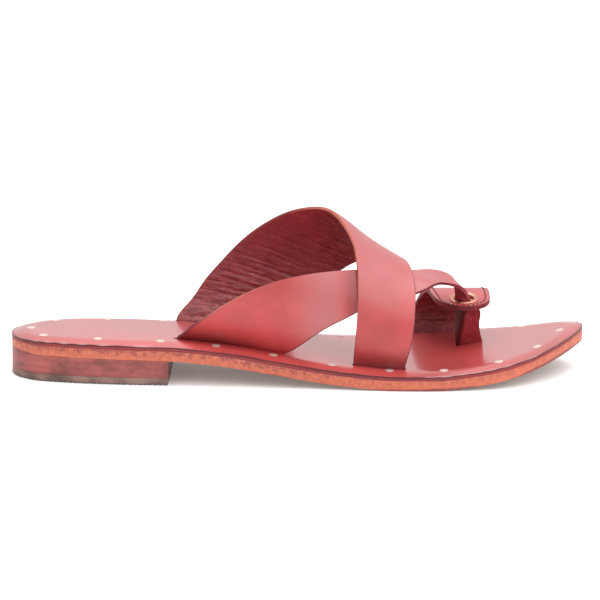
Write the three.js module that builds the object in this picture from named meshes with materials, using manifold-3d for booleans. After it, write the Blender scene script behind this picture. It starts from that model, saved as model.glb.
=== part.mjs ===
// Flat leather sandal for the right foot: crossed straps, a toe strap and a toe post on a nailed sole.
// Millimetres, +X towards the toes, +Y to the inner (medial) side, +Z up, floor at z = 0.
import * as THREE from 'three';
import { mergeVertices } from 'three/addons/utils/BufferGeometryUtils.js';
import Module from 'manifold-3d';

const wasm = await Module();
wasm.setup();

// Driving dimensions
const BALL_WIDTH = 93;
const INSTEP_HEIGHT = 78;
const HEEL_HEIGHT = 11.4;
const HEEL_BACK = -31;
const HEEL_BREAST = { lateral: 43.5, medial: 47 };
const TOE_TIP = 240.4;
const TOP_LIFT_THICKNESS = 3.3;
const OUTSOLE_THICKNESS = 4.6;
const INSOLE_EDGE_THICKNESS = 1.5;
const RIM_RISE = 1.7;
const RIM_WIDTH = 8;
const STRAP_THICKNESS = 1.7;
const TOE_STRAP_THICKNESS = 2.4;
const STRAP_BOND = 0.6;
const SEAT_GAP = 0.3;
const SLOT_CLEARANCE = 0.35;
const FOOT_LIFT = 0.4;
const CUTTER_REACH = 30;

// Counts and shares for the steps of the meshes
const OUTLINE_STEPS = 40;
const STRAP_STEPS = 30;
const STRAP_COLUMNS = 7;
const HEEL_COLUMNS = 4;
const HEEL_TIP_SHARE = 0.02;
const SOLE_COLUMNS = 4;
const OUTLINE_FINE = 30;
const OUTLINE_CROWDING = 0.07;

// Outline of the sole: widths on each side of the axis as shares of the ball width
const HEEL_END = { along: HEEL_BACK, across: 0.01 };
const TOE_END = { along: TOE_TIP, across: 0.108 };
const OUTLINE = [
  { along: -28.5, lateral: 0.115, medial: 0.135 },
  { along: -20, lateral: 0.207, medial: 0.237 },
  { along: -3, lateral: 0.265, medial: 0.304 },
  { along: 20, lateral: 0.304, medial: 0.312 },
  { along: 45, lateral: 0.324, medial: 0.29 },
  { along: 70, lateral: 0.346, medial: 0.292 },
  { along: 95, lateral: 0.375, medial: 0.33 },
  { along: 117, lateral: 0.405, medial: 0.388 },
  { along: 140, lateral: 0.434, medial: 0.464 },
  { along: 161, lateral: 0.447, medial: 0.54 },
  { along: 180, lateral: 0.437, medial: 0.56 },
  { along: 197, lateral: 0.407, medial: 0.508 },
  { along: 212, lateral: 0.325, medial: 0.43 },
  { along: 225, lateral: 0.197, medial: 0.346 },
  { along: 234, lateral: 0.068, medial: 0.264 },
];

// Underside of the outsole above the floor: heel seat, waist, flat tread and toe spring
const ROCKER = [
  { along: -31, height: HEEL_HEIGHT + 1 },
  { along: 45, height: HEEL_HEIGHT },
  { along: 60, height: 10.3 },
  { along: 75, height: 8.7 },
  { along: 90, height: 6.4 },
  { along: 105, height: 4.2 },
  { along: 120, height: 2.2 },
  { along: 135, height: 0.8 },
  { along: 148, height: 0 },
  { along: 170, height: 0 },
  { along: 180, height: 0.9 },
  { along: 197, height: 3.1 },
  { along: 213, height: 6.1 },
  { along: 233, height: 11.6 },
  { along: 241, height: 13.7 },
];

// Foot form inside the straps. The ridge and the widest height are shares of the instep height,
// widths are shares of the ball width, at the widest height and where the form meets the footbed.
const FOOT_FORM = [
  { along: 30, ridge: 1.18, mid: 0.64, lateral: 0.27, medial: 0.28, lateralLow: 0.16, medialLow: 0.215 },
  { along: 60, ridge: 1.205, mid: 0.615, lateral: 0.3, medial: 0.29, lateralLow: 0.185, medialLow: 0.215 },
  { along: 90, ridge: 1.115, mid: 0.565, lateral: 0.322, medial: 0.3, lateralLow: 0.215, medialLow: 0.225 },
  { along: 112, ridge: 0.99, mid: 0.487, lateral: 0.322, medial: 0.312, lateralLow: 0.245, medialLow: 0.25 },
  { along: 119, ridge: 0.955, mid: 0.455, lateral: 0.322, medial: 0.322, lateralLow: 0.26, medialLow: 0.26 },
  { along: 126, ridge: 0.896, mid: 0.423, lateral: 0.322, medial: 0.333, lateralLow: 0.27, medialLow: 0.28 },
  { along: 137, ridge: 0.78, mid: 0.372, lateral: 0.328, medial: 0.355, lateralLow: 0.285, medialLow: 0.333 },
  { along: 146, ridge: 0.705, mid: 0.333, lateral: 0.333, medial: 0.387, lateralLow: 0.3, medialLow: 0.387 },
  { along: 154, ridge: 0.642, mid: 0.308, lateral: 0.34, medial: 0.42, lateralLow: 0.315, medialLow: 0.42 },
  { along: 167, ridge: 0.6, mid: 0.282, lateral: 0.344, medial: 0.46, lateralLow: 0.315, medialLow: 0.46 },
  { along: 178, ridge: 0.55, mid: 0.25, lateral: 0.344, medial: 0.48, lateralLow: 0.315, medialLow: 0.48 },
];
const RIDGE_ACROSS = 2.5;

// Places on the foot form: side -2 is the footbed on the lateral side, -1 the widest lateral height,
// 0 the ridge, 1 the widest medial height and 2 the footbed on the medial side.
const INSTEP_STRAP = [
  { side: 2, rear: 46.4, front: 96.5 },
  { side: 1.7, rear: 51.4, front: 101.5 },
  { side: 1.35, rear: 59.3, front: 107.8 },
  { side: 1.05, rear: 68.8, front: 115 },
  { side: 0.85, rear: 78, front: 124 },
  { side: 0.65, rear: 90.6, front: 134 },
  { side: 0.48, rear: 100.3, front: 143 },
  { side: 0.3, rear: 109.6, front: 150.5 },
  { side: 0.1, rear: 117.5, front: 154.5 },
  { side: -0.1, rear: 123.5, front: 156.7 },
  { side: -0.28, rear: 128.5, front: 158.2 },
  { side: -0.5, rear: 131, front: 159 },
  { side: -0.8, rear: 132, front: 158.6 },
  { side: -1.1, rear: 131.8, front: 157.6 },
  { side: -1.5, rear: 131.2, front: 156.2 },
  { side: -2, rear: 130.6, front: 154.5 },
];

// Each row gives the upper and the lower edge of the side strap
const SIDE_STRAP = [
  { upper: 46.6, upperSide: -2, lower: 98.2, lowerSide: -2 },
  { upper: 51, upperSide: -1.8, lower: 103.8, lowerSide: -1.8 },
  { upper: 59, upperSide: -1.56, lower: 110.6, lowerSide: -1.56 },
  { upper: 69.5, upperSide: -1.28, lower: 118.8, lowerSide: -1.27 },
  { upper: 82.5, upperSide: -1, lower: 127.3, lowerSide: -1 },
  { upper: 98, upperSide: -0.87, lower: 136, lowerSide: -0.86 },
  { upper: 113.7, upperSide: -0.74, lower: 144.2, lowerSide: -0.73 },
  { upper: 128, upperSide: -0.6, lower: 152, lowerSide: -0.59 },
  { upper: 143.5, upperSide: -0.37, lower: 159.2, lowerSide: -0.48 },
  { upper: 157.3, upperSide: -0.12, lower: 165.4, lowerSide: -0.37 },
  { upper: 166.6, upperSide: 0.04, lower: 170.3, lowerSide: -0.24 },
];

// The strap's tail: its middle, its width and the turn of its width from straight across
const TAIL = [
  { x: 175, y: 6.6, z: 43.8, wide: 9.2, turn: 0, tilt: 17 },
  { x: 179.7, y: 10.6, z: 41.4, wide: 7.7, turn: 0, tilt: 8 },
  { x: 182.9, y: 12.6, z: 37.6, wide: 7, turn: 0, tilt: 0 },
  { x: 184.5, y: 13.1, z: 33, wide: 6.8, turn: 0, tilt: 0 },
  { x: 184.6, y: 13.6, z: 29, wide: 6.8, turn: 4, tilt: 0 },
  { x: 184.9, y: 13.8, z: 25.5, wide: 10.6, turn: 55, tilt: 0 },
  { x: 185.4, y: 14, z: 20, wide: 11.2, turn: 66, tilt: 0 },
  { x: 186.4, y: 14.6, z: 14, wide: 12.2, turn: 72, tilt: 0 },
  { x: 187.2, y: 15.4, z: 10.4, wide: 13, turn: 74, tilt: 0 },
];
const TAIL_STEPS = 16;

// The toe strap goes from its round end with the eyelet over the big toe down to the medial edge
const TOE_STRAP = [
  { y: 3.4, z: 30.4, rear: 172.5, front: 196, skew: 0 },
  { y: 8, z: 31.25, rear: 171.5, front: 196.4, skew: 0 },
  { y: 18, z: 33.15, rear: 169, front: 196.4, skew: 0 },
  { y: 27, z: 34.6, rear: 167.4, front: 196, skew: 0 },
  { y: 35, z: 33.6, rear: 166, front: 194, skew: 0 },
  { y: 42.5, z: 29, rear: 164, front: 191, skew: 0.6 },
  { y: 47.6, z: 22.5, rear: 161.7, front: 188, skew: 1.4 },
  { y: 49.4, z: 15.5, rear: 159.5, front: 184, skew: 2.4 },
  { y: 48.4, z: 9, rear: 157.5, front: 181.5, skew: 3 },
];
const TOE_STRAP_STEPS = 22;
const TOE_STRAP_CORNER = 10.5;
const TOE_STRAP_ROUND = [0.02, 0.1, 0.25, 0.55];
const TOE_STRAP_SLOPE = 0.19;

// Metal eyelet in the toe strap
const EYELET = { x: 184, y: 12.8, z: 32.15, bore: 4.35, barrel: 5, flange: 6.85, steps: 28 };
const EYELET_ROLL = { rise: 0.9, edge: 0.9, lip: 0.5, throat: 0.7 };

// Domed nails round the rim
const NAIL = { head: 2.1, shank: 0.8, dome: 0.45, sides: 10, inset: 7.2 };
const END_NAILS = [{ x: -22.5, y: 2 }, { x: 217, y: -15 }, { x: 228.8, y: 4.5 }];
const LATERAL_NAILS = [-15.5, 10.5, 40.1, 66.2, 93, 120.4, 147.1, 172.3, 198.1];
const MEDIAL_NAILS = [-12, 12.5, 39.6, 106, 125, 144, 193.8, 213];

// A smooth curve through the rows of a table, read at a place along one of its columns
function tableCurve(rows, along, column) {
  const xs = rows.map((row) => row[along]);
  const ys = rows.map((row) => row[column]);
  const last = xs.length - 1;
  const rise = (i) => (ys[i + 1] - ys[i]) / (xs[i + 1] - xs[i]);
  const slope = (i) => {
    if (i === 0) return rise(0);
    if (i === last) return rise(last - 1);
    const before = rise(i - 1);
    const after = rise(i);
    return before * after <= 0 ? 0 : (2 * before * after) / (before + after);
  };
  const slopes = xs.map((x, i) => slope(i));
  return (at) => {
    const x = Math.min(Math.max(at, xs[0]), xs[last]);
    let i = 0;
    while (i < last - 1 && x > xs[i + 1]) i += 1;
    const step = xs[i + 1] - xs[i];
    const t = (x - xs[i]) / step;
    const u = 1 - t;
    return ys[i] * (1 + 2 * t) * u * u + ys[i + 1] * (1 + 2 * u) * t * t
      + step * t * u * (slopes[i] * u - slopes[i + 1] * t);
  };
}

// Rows of a table with one more column that counts them
function numbered(rows) {
  return rows.map((row, number) => ({ ...row, number }));
}

const undersideHeight = tableCurve(ROCKER, 'along', 'height');
const outsoleTop = (x) => undersideHeight(x) + OUTSOLE_THICKNESS;
const insoleBottom = (x) => outsoleTop(x) + SEAT_GAP;

function insoleTop(x, inset) {
  const roll = Math.max(0, 1 - inset / RIM_WIDTH);
  return insoleBottom(x) + INSOLE_EDGE_THICKNESS + RIM_RISE * (1 - roll * roll);
}

const footbed = (x) => insoleTop(x, RIM_WIDTH);

// The outline as two lists of the same length, heel end to toe end, one for each side
function outlineSides() {
  const point = (along, share) => new THREE.Vector3(along, share * BALL_WIDTH, 0);
  const heel = point(HEEL_END.along, HEEL_END.across);
  const toe = point(TOE_END.along, TOE_END.across);
  const lateral = OUTLINE.map((row) => point(row.along, -row.lateral));
  const medial = OUTLINE.map((row) => point(row.along, row.medial)).reverse();
  const ring = [heel, ...lateral, toe, ...medial];
  const curve = new THREE.CatmullRomCurve3(ring, true, 'centripetal');
  const toeNumber = (lateral.length + 1) * OUTLINE_FINE;
  const dense = curve.getPoints(ring.length * OUTLINE_FINE);
  const halves = [dense.slice(0, toeNumber + 1), dense.slice(toeNumber).reverse()];
  return halves.map(resample);
}

// Points along a polyline, closer together at its two ends
function resample(points) {
  const lengths = [0];
  for (let i = 1; i < points.length; i += 1) {
    lengths.push(lengths[i - 1] + points[i].distanceTo(points[i - 1]));
  }
  const total = lengths[lengths.length - 1];
  const result = [];
  let i = 1;
  for (let k = 0; k <= OUTLINE_STEPS; k += 1) {
    const share = k / OUTLINE_STEPS;
    const want = total * (share - OUTLINE_CROWDING * Math.sin(2 * Math.PI * share));
    while (i < points.length - 1 && lengths[i] < want) i += 1;
    const t = (want - lengths[i - 1]) / (lengths[i] - lengths[i - 1]);
    result.push(points[i - 1].clone().lerp(points[i], t));
  }
  return result;
}

const [LATERAL_SIDE, MEDIAL_SIDE] = outlineSides();
const RING = [...LATERAL_SIDE, ...MEDIAL_SIDE.slice(1, -1).reverse()];

// The closed outline moved inwards
function insetRing(inset) {
  const count = RING.length;
  return RING.map((point, i) => {
    const before = RING[(i + count - 1) % count];
    const after = RING[(i + 1) % count];
    const along = after.clone().sub(before).normalize();
    return new THREE.Vector3(point.x - along.y * inset, point.y + along.x * inset, 0);
  });
}

// A point of the rim at a place along the foot, a given distance inside the edge
function rimPoint(along, sideSign, inset) {
  const ring = insetRing(inset);
  const half = sideSign < 0
    ? ring.slice(0, OUTLINE_STEPS + 1)
    : [ring[0], ...ring.slice(OUTLINE_STEPS).reverse()];
  let i = 1;
  while (i < half.length - 1 && half[i].x < along) i += 1;
  const t = (along - half[i - 1].x) / (half[i].x - half[i - 1].x);
  return half[i - 1].clone().lerp(half[i], t);
}

function geometryFrom(positions, triangles) {
  const geometry = new THREE.BufferGeometry();
  geometry.setAttribute('position', new THREE.Float32BufferAttribute(positions, 3));
  geometry.setIndex(triangles);
  return geometry;
}

// A leather sheet of the sole's outline: rings inside the edge, then rows across the middle
function soleSheet(insets, topHeight, bottomHeight) {
  const rings = insets.map(insetRing);
  const count = RING.length;
  const inner = rings[rings.length - 1];
  const deepest = insets[insets.length - 1];
  const columns = SOLE_COLUMNS;
  const positions = [];
  const triangles = [];
  const vertices = [];
  rings.forEach((ring, k) => ring.forEach((point) => vertices.push([point, insets[k]])));
  const opposite = (i) => (i === 0 || i === OUTLINE_STEPS ? i : count - i);
  const rowStart = [];
  for (let i = 1; i < OUTLINE_STEPS; i += 1) {
    rowStart[i] = vertices.length;
    for (let c = 1; c < columns; c += 1) {
      vertices.push([inner[i].clone().lerp(inner[opposite(i)], c / columns), deepest]);
    }
  }
  const half = vertices.length;
  vertices.forEach(([p, inset]) => positions.push(p.x, p.y, topHeight(p.x, inset)));
  vertices.forEach(([p]) => positions.push(p.x, p.y, bottomHeight(p.x)));
  const innerBase = (rings.length - 1) * count;
  const rowVertex = (i, c) => {
    if (i === 0 || i === OUTLINE_STEPS) return innerBase + i;
    if (c === 0) return innerBase + i;
    if (c === columns) return innerBase + opposite(i);
    return rowStart[i] + c - 1;
  };
  const face = (a, b, c) => {
    if (a === b || b === c || a === c) return;
    triangles.push(a, b, c);
    triangles.push(half + a, half + c, half + b);
  };
  for (let k = 0; k + 1 < rings.length; k += 1) {
    for (let i = 0; i < count; i += 1) {
      const next = (i + 1) % count;
      face(k * count + i, k * count + next, (k + 1) * count + next);
      face(k * count + i, (k + 1) * count + next, (k + 1) * count + i);
    }
  }
  for (let i = 0; i < OUTLINE_STEPS; i += 1) {
    for (let c = 0; c < columns; c += 1) {
      face(rowVertex(i, c), rowVertex(i + 1, c), rowVertex(i + 1, c + 1));
      face(rowVertex(i, c), rowVertex(i + 1, c + 1), rowVertex(i, c + 1));
    }
  }
  for (let i = 0; i < count; i += 1) {
    const next = (i + 1) % count;
    triangles.push(i, half + i, half + next, i, half + next, next);
  }
  return geometryFrom(positions, triangles);
}

// A closed body between two grids of points: rows along it, columns across
function bodyBetween(front, back) {
  const rows = front.length;
  const columns = front[0].length;
  const positions = [];
  const triangles = [];
  [...front, ...back].flat().forEach((p) => positions.push(p.x, p.y, p.z));
  const half = rows * columns;
  const id = (r, c) => r * columns + c;
  const quad = (a, b, c, d) => triangles.push(a, b, c, a, c, d);
  for (let r = 0; r + 1 < rows; r += 1) {
    for (let c = 0; c + 1 < columns; c += 1) {
      quad(id(r, c), id(r + 1, c), id(r + 1, c + 1), id(r, c + 1));
      quad(half + id(r, c), half + id(r, c + 1), half + id(r + 1, c + 1), half + id(r + 1, c));
    }
  }
  const far = columns - 1;
  const end = rows - 1;
  for (let r = 0; r < end; r += 1) {
    quad(id(r, 0), half + id(r, 0), half + id(r + 1, 0), id(r + 1, 0));
    quad(id(r, far), id(r + 1, far), half + id(r + 1, far), half + id(r, far));
  }
  for (let c = 0; c < far; c += 1) {
    quad(id(0, c), id(0, c + 1), half + id(0, c + 1), half + id(0, c));
    quad(id(end, c), half + id(end, c), half + id(end, c + 1), id(end, c + 1));
  }
  return geometryFrom(positions, triangles);
}

// The two lists of points of the outline from the heel end to the breast
function heelRows() {
  const cut = (side, breast) => {
    const kept = side.filter((point) => point.x < breast - 1);
    const next = side[kept.length];
    const before = kept[kept.length - 1];
    const t = (breast - before.x) / (next.x - before.x);
    return [...kept, before.clone().lerp(next, t)];
  };
  const lateral = cut(LATERAL_SIDE, HEEL_BREAST.lateral);
  const medial = cut(MEDIAL_SIDE, HEEL_BREAST.medial);
  return lateral.slice(1).map((point, i) => [point, medial[Math.min(i + 1, medial.length - 1)]]);
}

// A piece of the heel: the outline behind the breast between two heights
function heelPiece(topHeight, bottomHeight) {
  const tip = LATERAL_SIDE[0];
  const [first, ...others] = heelRows();
  const narrow = first.map((point) => tip.clone().lerp(point, HEEL_TIP_SHARE));
  const rows = [narrow, first, ...others];
  const grid = (height) => rows.map(([a, b]) => {
    const row = [];
    for (let c = 0; c <= HEEL_COLUMNS; c += 1) {
      const p = a.clone().lerp(b, c / HEEL_COLUMNS);
      p.z = height(p.x);
      row.push(p);
    }
    return row;
  });
  return bodyBetween(grid(topHeight), grid(bottomHeight));
}

const formCurves = Object.fromEntries(
  Object.keys(FOOT_FORM[0]).map((column) => [column, tableCurve(FOOT_FORM, 'along', column)]),
);

// A point of the foot form
function formPoint(along, side) {
  const ridge = formCurves.ridge(along) * INSTEP_HEIGHT;
  const mid = formCurves.mid(along) * INSTEP_HEIGHT;
  const lateral = side < 0;
  const sign = lateral ? -1 : 1;
  const wide = sign * BALL_WIDTH * (lateral ? formCurves.lateral(along) : formCurves.medial(along));
  const footShare = lateral ? formCurves.lateralLow(along) : formCurves.medialLow(along);
  const foot = sign * BALL_WIDTH * footShare;
  const turn = Math.abs(side);
  if (turn <= 1) {
    const angle = (turn * Math.PI) / 2;
    const y = RIDGE_ACROSS + (wide - RIDGE_ACROSS) * Math.sin(angle);
    return new THREE.Vector3(along, y, mid + (ridge - mid) * Math.cos(angle));
  }
  const drop = turn - 1;
  const y = wide + (foot - wide) * drop * drop;
  return new THREE.Vector3(along, y, mid - (mid - footbed(along)) * drop);
}

// A point that stands off the foot form by a lift along its normal
function liftedPoint(along, side, lift) {
  const alongStep = 0.5;
  const sideStep = 0.01;
  const ahead = formPoint(along + alongStep, side).sub(formPoint(along - alongStep, side));
  const across = formPoint(along, side + sideStep).sub(formPoint(along, side - sideStep));
  return formPoint(along, side).addScaledVector(ahead.cross(across).normalize(), lift);
}

// Moves each point of a grid against its normal by the wall's thickness
function wallBehind(grid, thickness) {
  const rows = grid.length;
  const columns = grid[0].length;
  return grid.map((row, r) => row.map((point, c) => {
    const along = grid[Math.min(r + 1, rows - 1)][c].clone().sub(grid[Math.max(r - 1, 0)][c]);
    const across = row[Math.min(c + 1, columns - 1)].clone().sub(row[Math.max(c - 1, 0)]);
    const normal = along.cross(across).normalize();
    return point.clone().addScaledVector(normal, -thickness);
  }));
}

function solid(geometry) {
  const plain = geometry.clone();
  plain.deleteAttribute('normal');
  plain.deleteAttribute('uv');
  const merged = mergeVertices(plain, 1e-4);
  return new wasm.Manifold(new wasm.Mesh({
    numProp: 3,
    vertProperties: new Float32Array(merged.attributes.position.array),
    triVerts: new Uint32Array(merged.index.array),
  }));
}

function geometryOf(body) {
  const mesh = body.getMesh();
  return geometryFrom(Array.from(mesh.vertProperties), Array.from(mesh.triVerts));
}

// Adds the stretch that goes straight down through the insole at the end of a strap
function tucked(row) {
  const low = row.map((p) => new THREE.Vector3(p.x, p.y, outsoleTop(p.x) + SEAT_GAP + FOOT_LIFT));
  const middle = row.map((p, i) => p.clone().lerp(low[i], 0.5));
  return [middle, low];
}

// A band across the form between its rear and front edge, column by column
function instepGrid() {
  const lift = 2 * STRAP_THICKNESS - STRAP_BOND;
  const rear = tableCurve([...INSTEP_STRAP].reverse(), 'side', 'rear');
  const front = tableCurve([...INSTEP_STRAP].reverse(), 'side', 'front');
  const grid = [];
  for (let k = 0; k <= STRAP_STEPS; k += 1) {
    const side = -2 + (4 * k) / STRAP_STEPS;
    const row = [];
    for (let c = 0; c < STRAP_COLUMNS; c += 1) {
      const along = THREE.MathUtils.lerp(front(side), rear(side), c / (STRAP_COLUMNS - 1));
      const point = liftedPoint(along, side, lift);
      if (Math.abs(side) === 2) point.z = footbed(point.x) + FOOT_LIFT;
      row.push(point);
    }
    grid.push(row);
  }
  const [lateralMiddle, lateralLow] = tucked(grid[0]);
  return [lateralLow, lateralMiddle, ...grid, ...tucked(grid[grid.length - 1])];
}

function sideGrid() {
  const rows = numbered(SIDE_STRAP);
  const curve = Object.fromEntries(
    ['upper', 'upperSide', 'lower', 'lowerSide'].map((name) => [name, tableCurve(rows, 'number', name)]),
  );
  const grid = [];
  const steps = 2 * (rows.length - 1);
  for (let k = 0; k <= steps; k += 1) {
    const at = k / 2;
    const row = [];
    for (let c = 0; c < STRAP_COLUMNS; c += 1) {
      const t = c / (STRAP_COLUMNS - 1);
      const along = THREE.MathUtils.lerp(curve.lower(at), curve.upper(at), t);
      const side = THREE.MathUtils.lerp(curve.lowerSide(at), curve.upperSide(at), t);
      const point = liftedPoint(along, side, STRAP_THICKNESS);
      if (k === 0) point.z = footbed(point.x) + FOOT_LIFT;
      row.push(point);
    }
    grid.push(row);
  }
  const [middle, low] = tucked(grid[0]);
  return [low, middle, ...grid, ...tailGrid()];
}

// The tail's rows: a narrow strip that turns over into the eyelet and down to the footbed
function tailGrid() {
  const rows = numbered(TAIL);
  const names = ['x', 'y', 'z', 'wide', 'turn', 'tilt'];
  const curve = Object.fromEntries(names.map((name) => [name, tableCurve(rows, 'number', name)]));
  const grid = [];
  for (let k = 0; k <= TAIL_STEPS; k += 1) {
    const at = ((rows.length - 1) * k) / TAIL_STEPS;
    const turn = THREE.MathUtils.degToRad(curve.turn(at));
    const tilt = THREE.MathUtils.degToRad(curve.tilt(at));
    const width = new THREE.Vector3(Math.sin(turn), Math.cos(turn) * Math.cos(tilt), Math.sin(tilt));
    const middle = new THREE.Vector3(curve.x(at), curve.y(at), curve.z(at));
    const row = [];
    for (let c = 0; c < STRAP_COLUMNS; c += 1) {
      const share = c / (STRAP_COLUMNS - 1) - 0.5;
      row.push(middle.clone().addScaledVector(width, share * curve.wide(at)));
    }
    grid.push(row);
  }
  return [...grid, ...tucked(grid[grid.length - 1])];
}

function toeStrapGrid() {
  const rows = numbered(TOE_STRAP);
  const curve = Object.fromEntries(
    ['y', 'z', 'rear', 'front', 'skew'].map((name) => [name, tableCurve(rows, 'number', name)]),
  );
  const places = [...TOE_STRAP_ROUND];
  for (let k = 0; k <= TOE_STRAP_STEPS; k += 1) {
    places.push(1 + ((rows.length - 2) * k) / TOE_STRAP_STEPS);
  }
  const grid = places.map((at) => {
    const y = curve.y(at);
    const left = Math.max(0, TOE_STRAP_CORNER - (y - TOE_STRAP[0].y));
    const cut = TOE_STRAP_CORNER - Math.sqrt(TOE_STRAP_CORNER ** 2 - left ** 2);
    const row = [];
    for (let c = 0; c < STRAP_COLUMNS; c += 1) {
      const t = c / (STRAP_COLUMNS - 1);
      const x = THREE.MathUtils.lerp(curve.front(at) - cut, curve.rear(at) + cut, t);
      row.push(new THREE.Vector3(x, y - t * curve.skew(at), curve.z(at)));
    }
    return row;
  });
  grid[grid.length - 1].forEach((point) => { point.z = footbed(point.x) + FOOT_LIFT; });
  return [...grid, ...tucked(grid[grid.length - 1])];
}

// A prism through the insole round the tucked end of a strap
function slotCutter(grid, thickness, endRow) {
  const back = wallBehind(grid, thickness);
  const row = endRow < 0 ? grid.length - 1 : 0;
  const front = grid[row];
  const rear = back[row];
  const widen = (a, b) => {
    const across = a.clone().sub(b).setZ(0).normalize();
    const outer = a.clone().addScaledVector(across, SLOT_CLEARANCE);
    return [outer, b.clone().addScaledVector(across, -SLOT_CLEARANCE)];
  };
  const sides = front.map((point, c) => widen(point, rear[c]));
  const lengthen = (list, i, j) => {
    const ahead = list[i].clone().sub(list[j]).setZ(0).normalize();
    list[i].addScaledVector(ahead, SLOT_CLEARANCE);
  };
  const one = sides.map(([a]) => a);
  const other = sides.map(([, b]) => b);
  [one, other].forEach((list) => {
    lengthen(list, 0, 1);
    lengthen(list, list.length - 1, list.length - 2);
  });
  const outline = new THREE.Shape([...one, ...other.reverse()].map((p) => new THREE.Vector2(p.x, p.y)));
  const prism = new THREE.ExtrudeGeometry(outline, { depth: 2 * CUTTER_REACH, bevelEnabled: false });
  return prism.translate(0, 0, -CUTTER_REACH);
}

// A closed ring turned round the eyelet's axis
function eyeletGeometry() {
  const { bore, barrel, flange, steps } = EYELET;
  const { rise, edge, lip, throat } = EYELET_ROLL;
  const below = -TOE_STRAP_THICKNESS - SEAT_GAP;
  const profile = [
    [bore, below - lip],
    [flange - edge, below - lip],
    [flange - edge, below],
    [barrel, below],
    [barrel, SEAT_GAP],
    [flange, SEAT_GAP],
    [flange - edge / 4, (SEAT_GAP + 2 * rise) / 2.5],
    [flange - edge, rise],
    [bore + throat, rise],
    [bore, SEAT_GAP],
  ].map(([radius, height]) => new THREE.Vector2(radius, height));
  profile.push(profile[0].clone());
  return new THREE.LatheGeometry(profile, steps).rotateX(Math.PI / 2);
}

function nailGeometry(depth) {
  const { head, shank, dome, sides } = NAIL;
  const profile = [
    [0, -depth],
    [shank, -depth],
    [shank, 0],
    [head, 0],
    [head * 0.75, dome * 0.75],
    [0, dome],
  ].map(([radius, height]) => new THREE.Vector2(radius, height));
  return new THREE.LatheGeometry(profile, sides).rotateX(Math.PI / 2);
}

// A cylinder round a place of the flap or the rim, as a cutter
function boreCutter(radius, steps) {
  return new THREE.CylinderGeometry(radius, radius, CUTTER_REACH, steps).rotateX(Math.PI / 2);
}

function nailPlaces() {
  const rim = (sign) => (along) => rimPoint(along, sign, NAIL.inset);
  const places = [
    ...END_NAILS.map(({ x, y }) => new THREE.Vector3(x, y, 0)),
    ...LATERAL_NAILS.map(rim(-1)),
    ...MEDIAL_NAILS.map(rim(1)),
  ];
  return places.map((place) => place.setZ(footbed(place.x)));
}

// How far the footbed leans at a place, as a turn about the Y axis
function footbedLean(x) {
  const step = 1.5;
  return -Math.atan((footbed(x + step) - footbed(x - step)) / (2 * step));
}

// Cuts the slots and nail holes in the insole
function insoleGeometry(cutters) {
  const insets = [0, RIM_WIDTH * 0.3, RIM_WIDTH];
  let body = solid(soleSheet(insets, insoleTop, insoleBottom));
  cutters.forEach((cutter) => { body = body.subtract(solid(cutter)); });
  return geometryOf(body);
}

const LOOKS = {
  rubber: { color: 0x7c6a62, roughness: 0.7, metalness: 0 },
  stacked: { color: 0x8a4640, roughness: 0.6, metalness: 0 },
  edge: { color: 0xd2604a, roughness: 0.6, metalness: 0 },
  footbed: { color: 0xd98480, roughness: 0.35, metalness: 0 },
  strap: { color: 0xc0484a, roughness: 0.42, metalness: 0 },
  copper: { color: 0xd9a08c, roughness: 0.25, metalness: 1 },
  steel: { color: 0xd8cfc4, roughness: 0.35, metalness: 1 },
};

const sandal = new THREE.Group();

function addPiece(name, geometry, look) {
  const mesh = new THREE.Mesh(geometry, new THREE.MeshStandardMaterial(LOOKS[look]));
  mesh.name = name;
  sandal.add(mesh);
  return mesh;
}

// Sole
const flat = (height) => () => height;
addPiece('top_lift', heelPiece(flat(TOP_LIFT_THICKNESS), flat(0)), 'rubber');
const heelTop = (x) => undersideHeight(x) - SEAT_GAP;
addPiece('heel_block', heelPiece(heelTop, flat(TOP_LIFT_THICKNESS + SEAT_GAP)), 'stacked');
addPiece('outsole', soleSheet([0, RIM_WIDTH], outsoleTop, undersideHeight), 'edge');

// Upper
const instep = instepGrid();
const sideBand = sideGrid();
const toeBand = toeStrapGrid();
const wall = (grid, thickness) => solid(bodyBetween(grid, wallBehind(grid, thickness)));
const joined = wall(instep, STRAP_THICKNESS).add(wall(sideBand, STRAP_THICKNESS));
addPiece('upper', geometryOf(joined), 'strap');

const eyeletTilt = Math.atan(TOE_STRAP_SLOPE);
const eyeletHole = boreCutter(EYELET.barrel + SEAT_GAP, EYELET.steps);
eyeletHole.rotateX(eyeletTilt).translate(EYELET.x, EYELET.y, EYELET.z);
addPiece('toe_strap', geometryOf(wall(toeBand, TOE_STRAP_THICKNESS).subtract(solid(eyeletHole))), 'strap');

// Footbed with its slots and nail holes
const nails = nailPlaces();
const nailHoles = nails.map((place) => {
  const cutter = boreCutter(NAIL.shank + SEAT_GAP, 8).rotateY(footbedLean(place.x));
  return cutter.translate(place.x, place.y, place.z);
});
const slots = [
  slotCutter(instep, STRAP_THICKNESS, 0),
  slotCutter(instep, STRAP_THICKNESS, -1),
  slotCutter(sideBand, STRAP_THICKNESS, 0),
  slotCutter(sideBand, STRAP_THICKNESS, -1),
  slotCutter(toeBand, TOE_STRAP_THICKNESS, -1),
];
addPiece('insole', insoleGeometry([...slots, ...nailHoles]), 'footbed');

// Metal
const eyelet = addPiece('eyelet', eyeletGeometry(), 'copper');
eyelet.position.set(EYELET.x, EYELET.y, EYELET.z);
eyelet.rotation.x = eyeletTilt;

nails.forEach((place, i) => {
  const depth = INSOLE_EDGE_THICKNESS + RIM_RISE - SEAT_GAP;
  const name = `nail_${String(i + 1).padStart(2, '0')}`;
  const nail = addPiece(name, nailGeometry(depth), 'steel');
  nail.position.set(place.x, place.y, place.z + SEAT_GAP);
  nail.rotation.y = footbedLean(place.x);
});

export default sandal;
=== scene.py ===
import math

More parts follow.
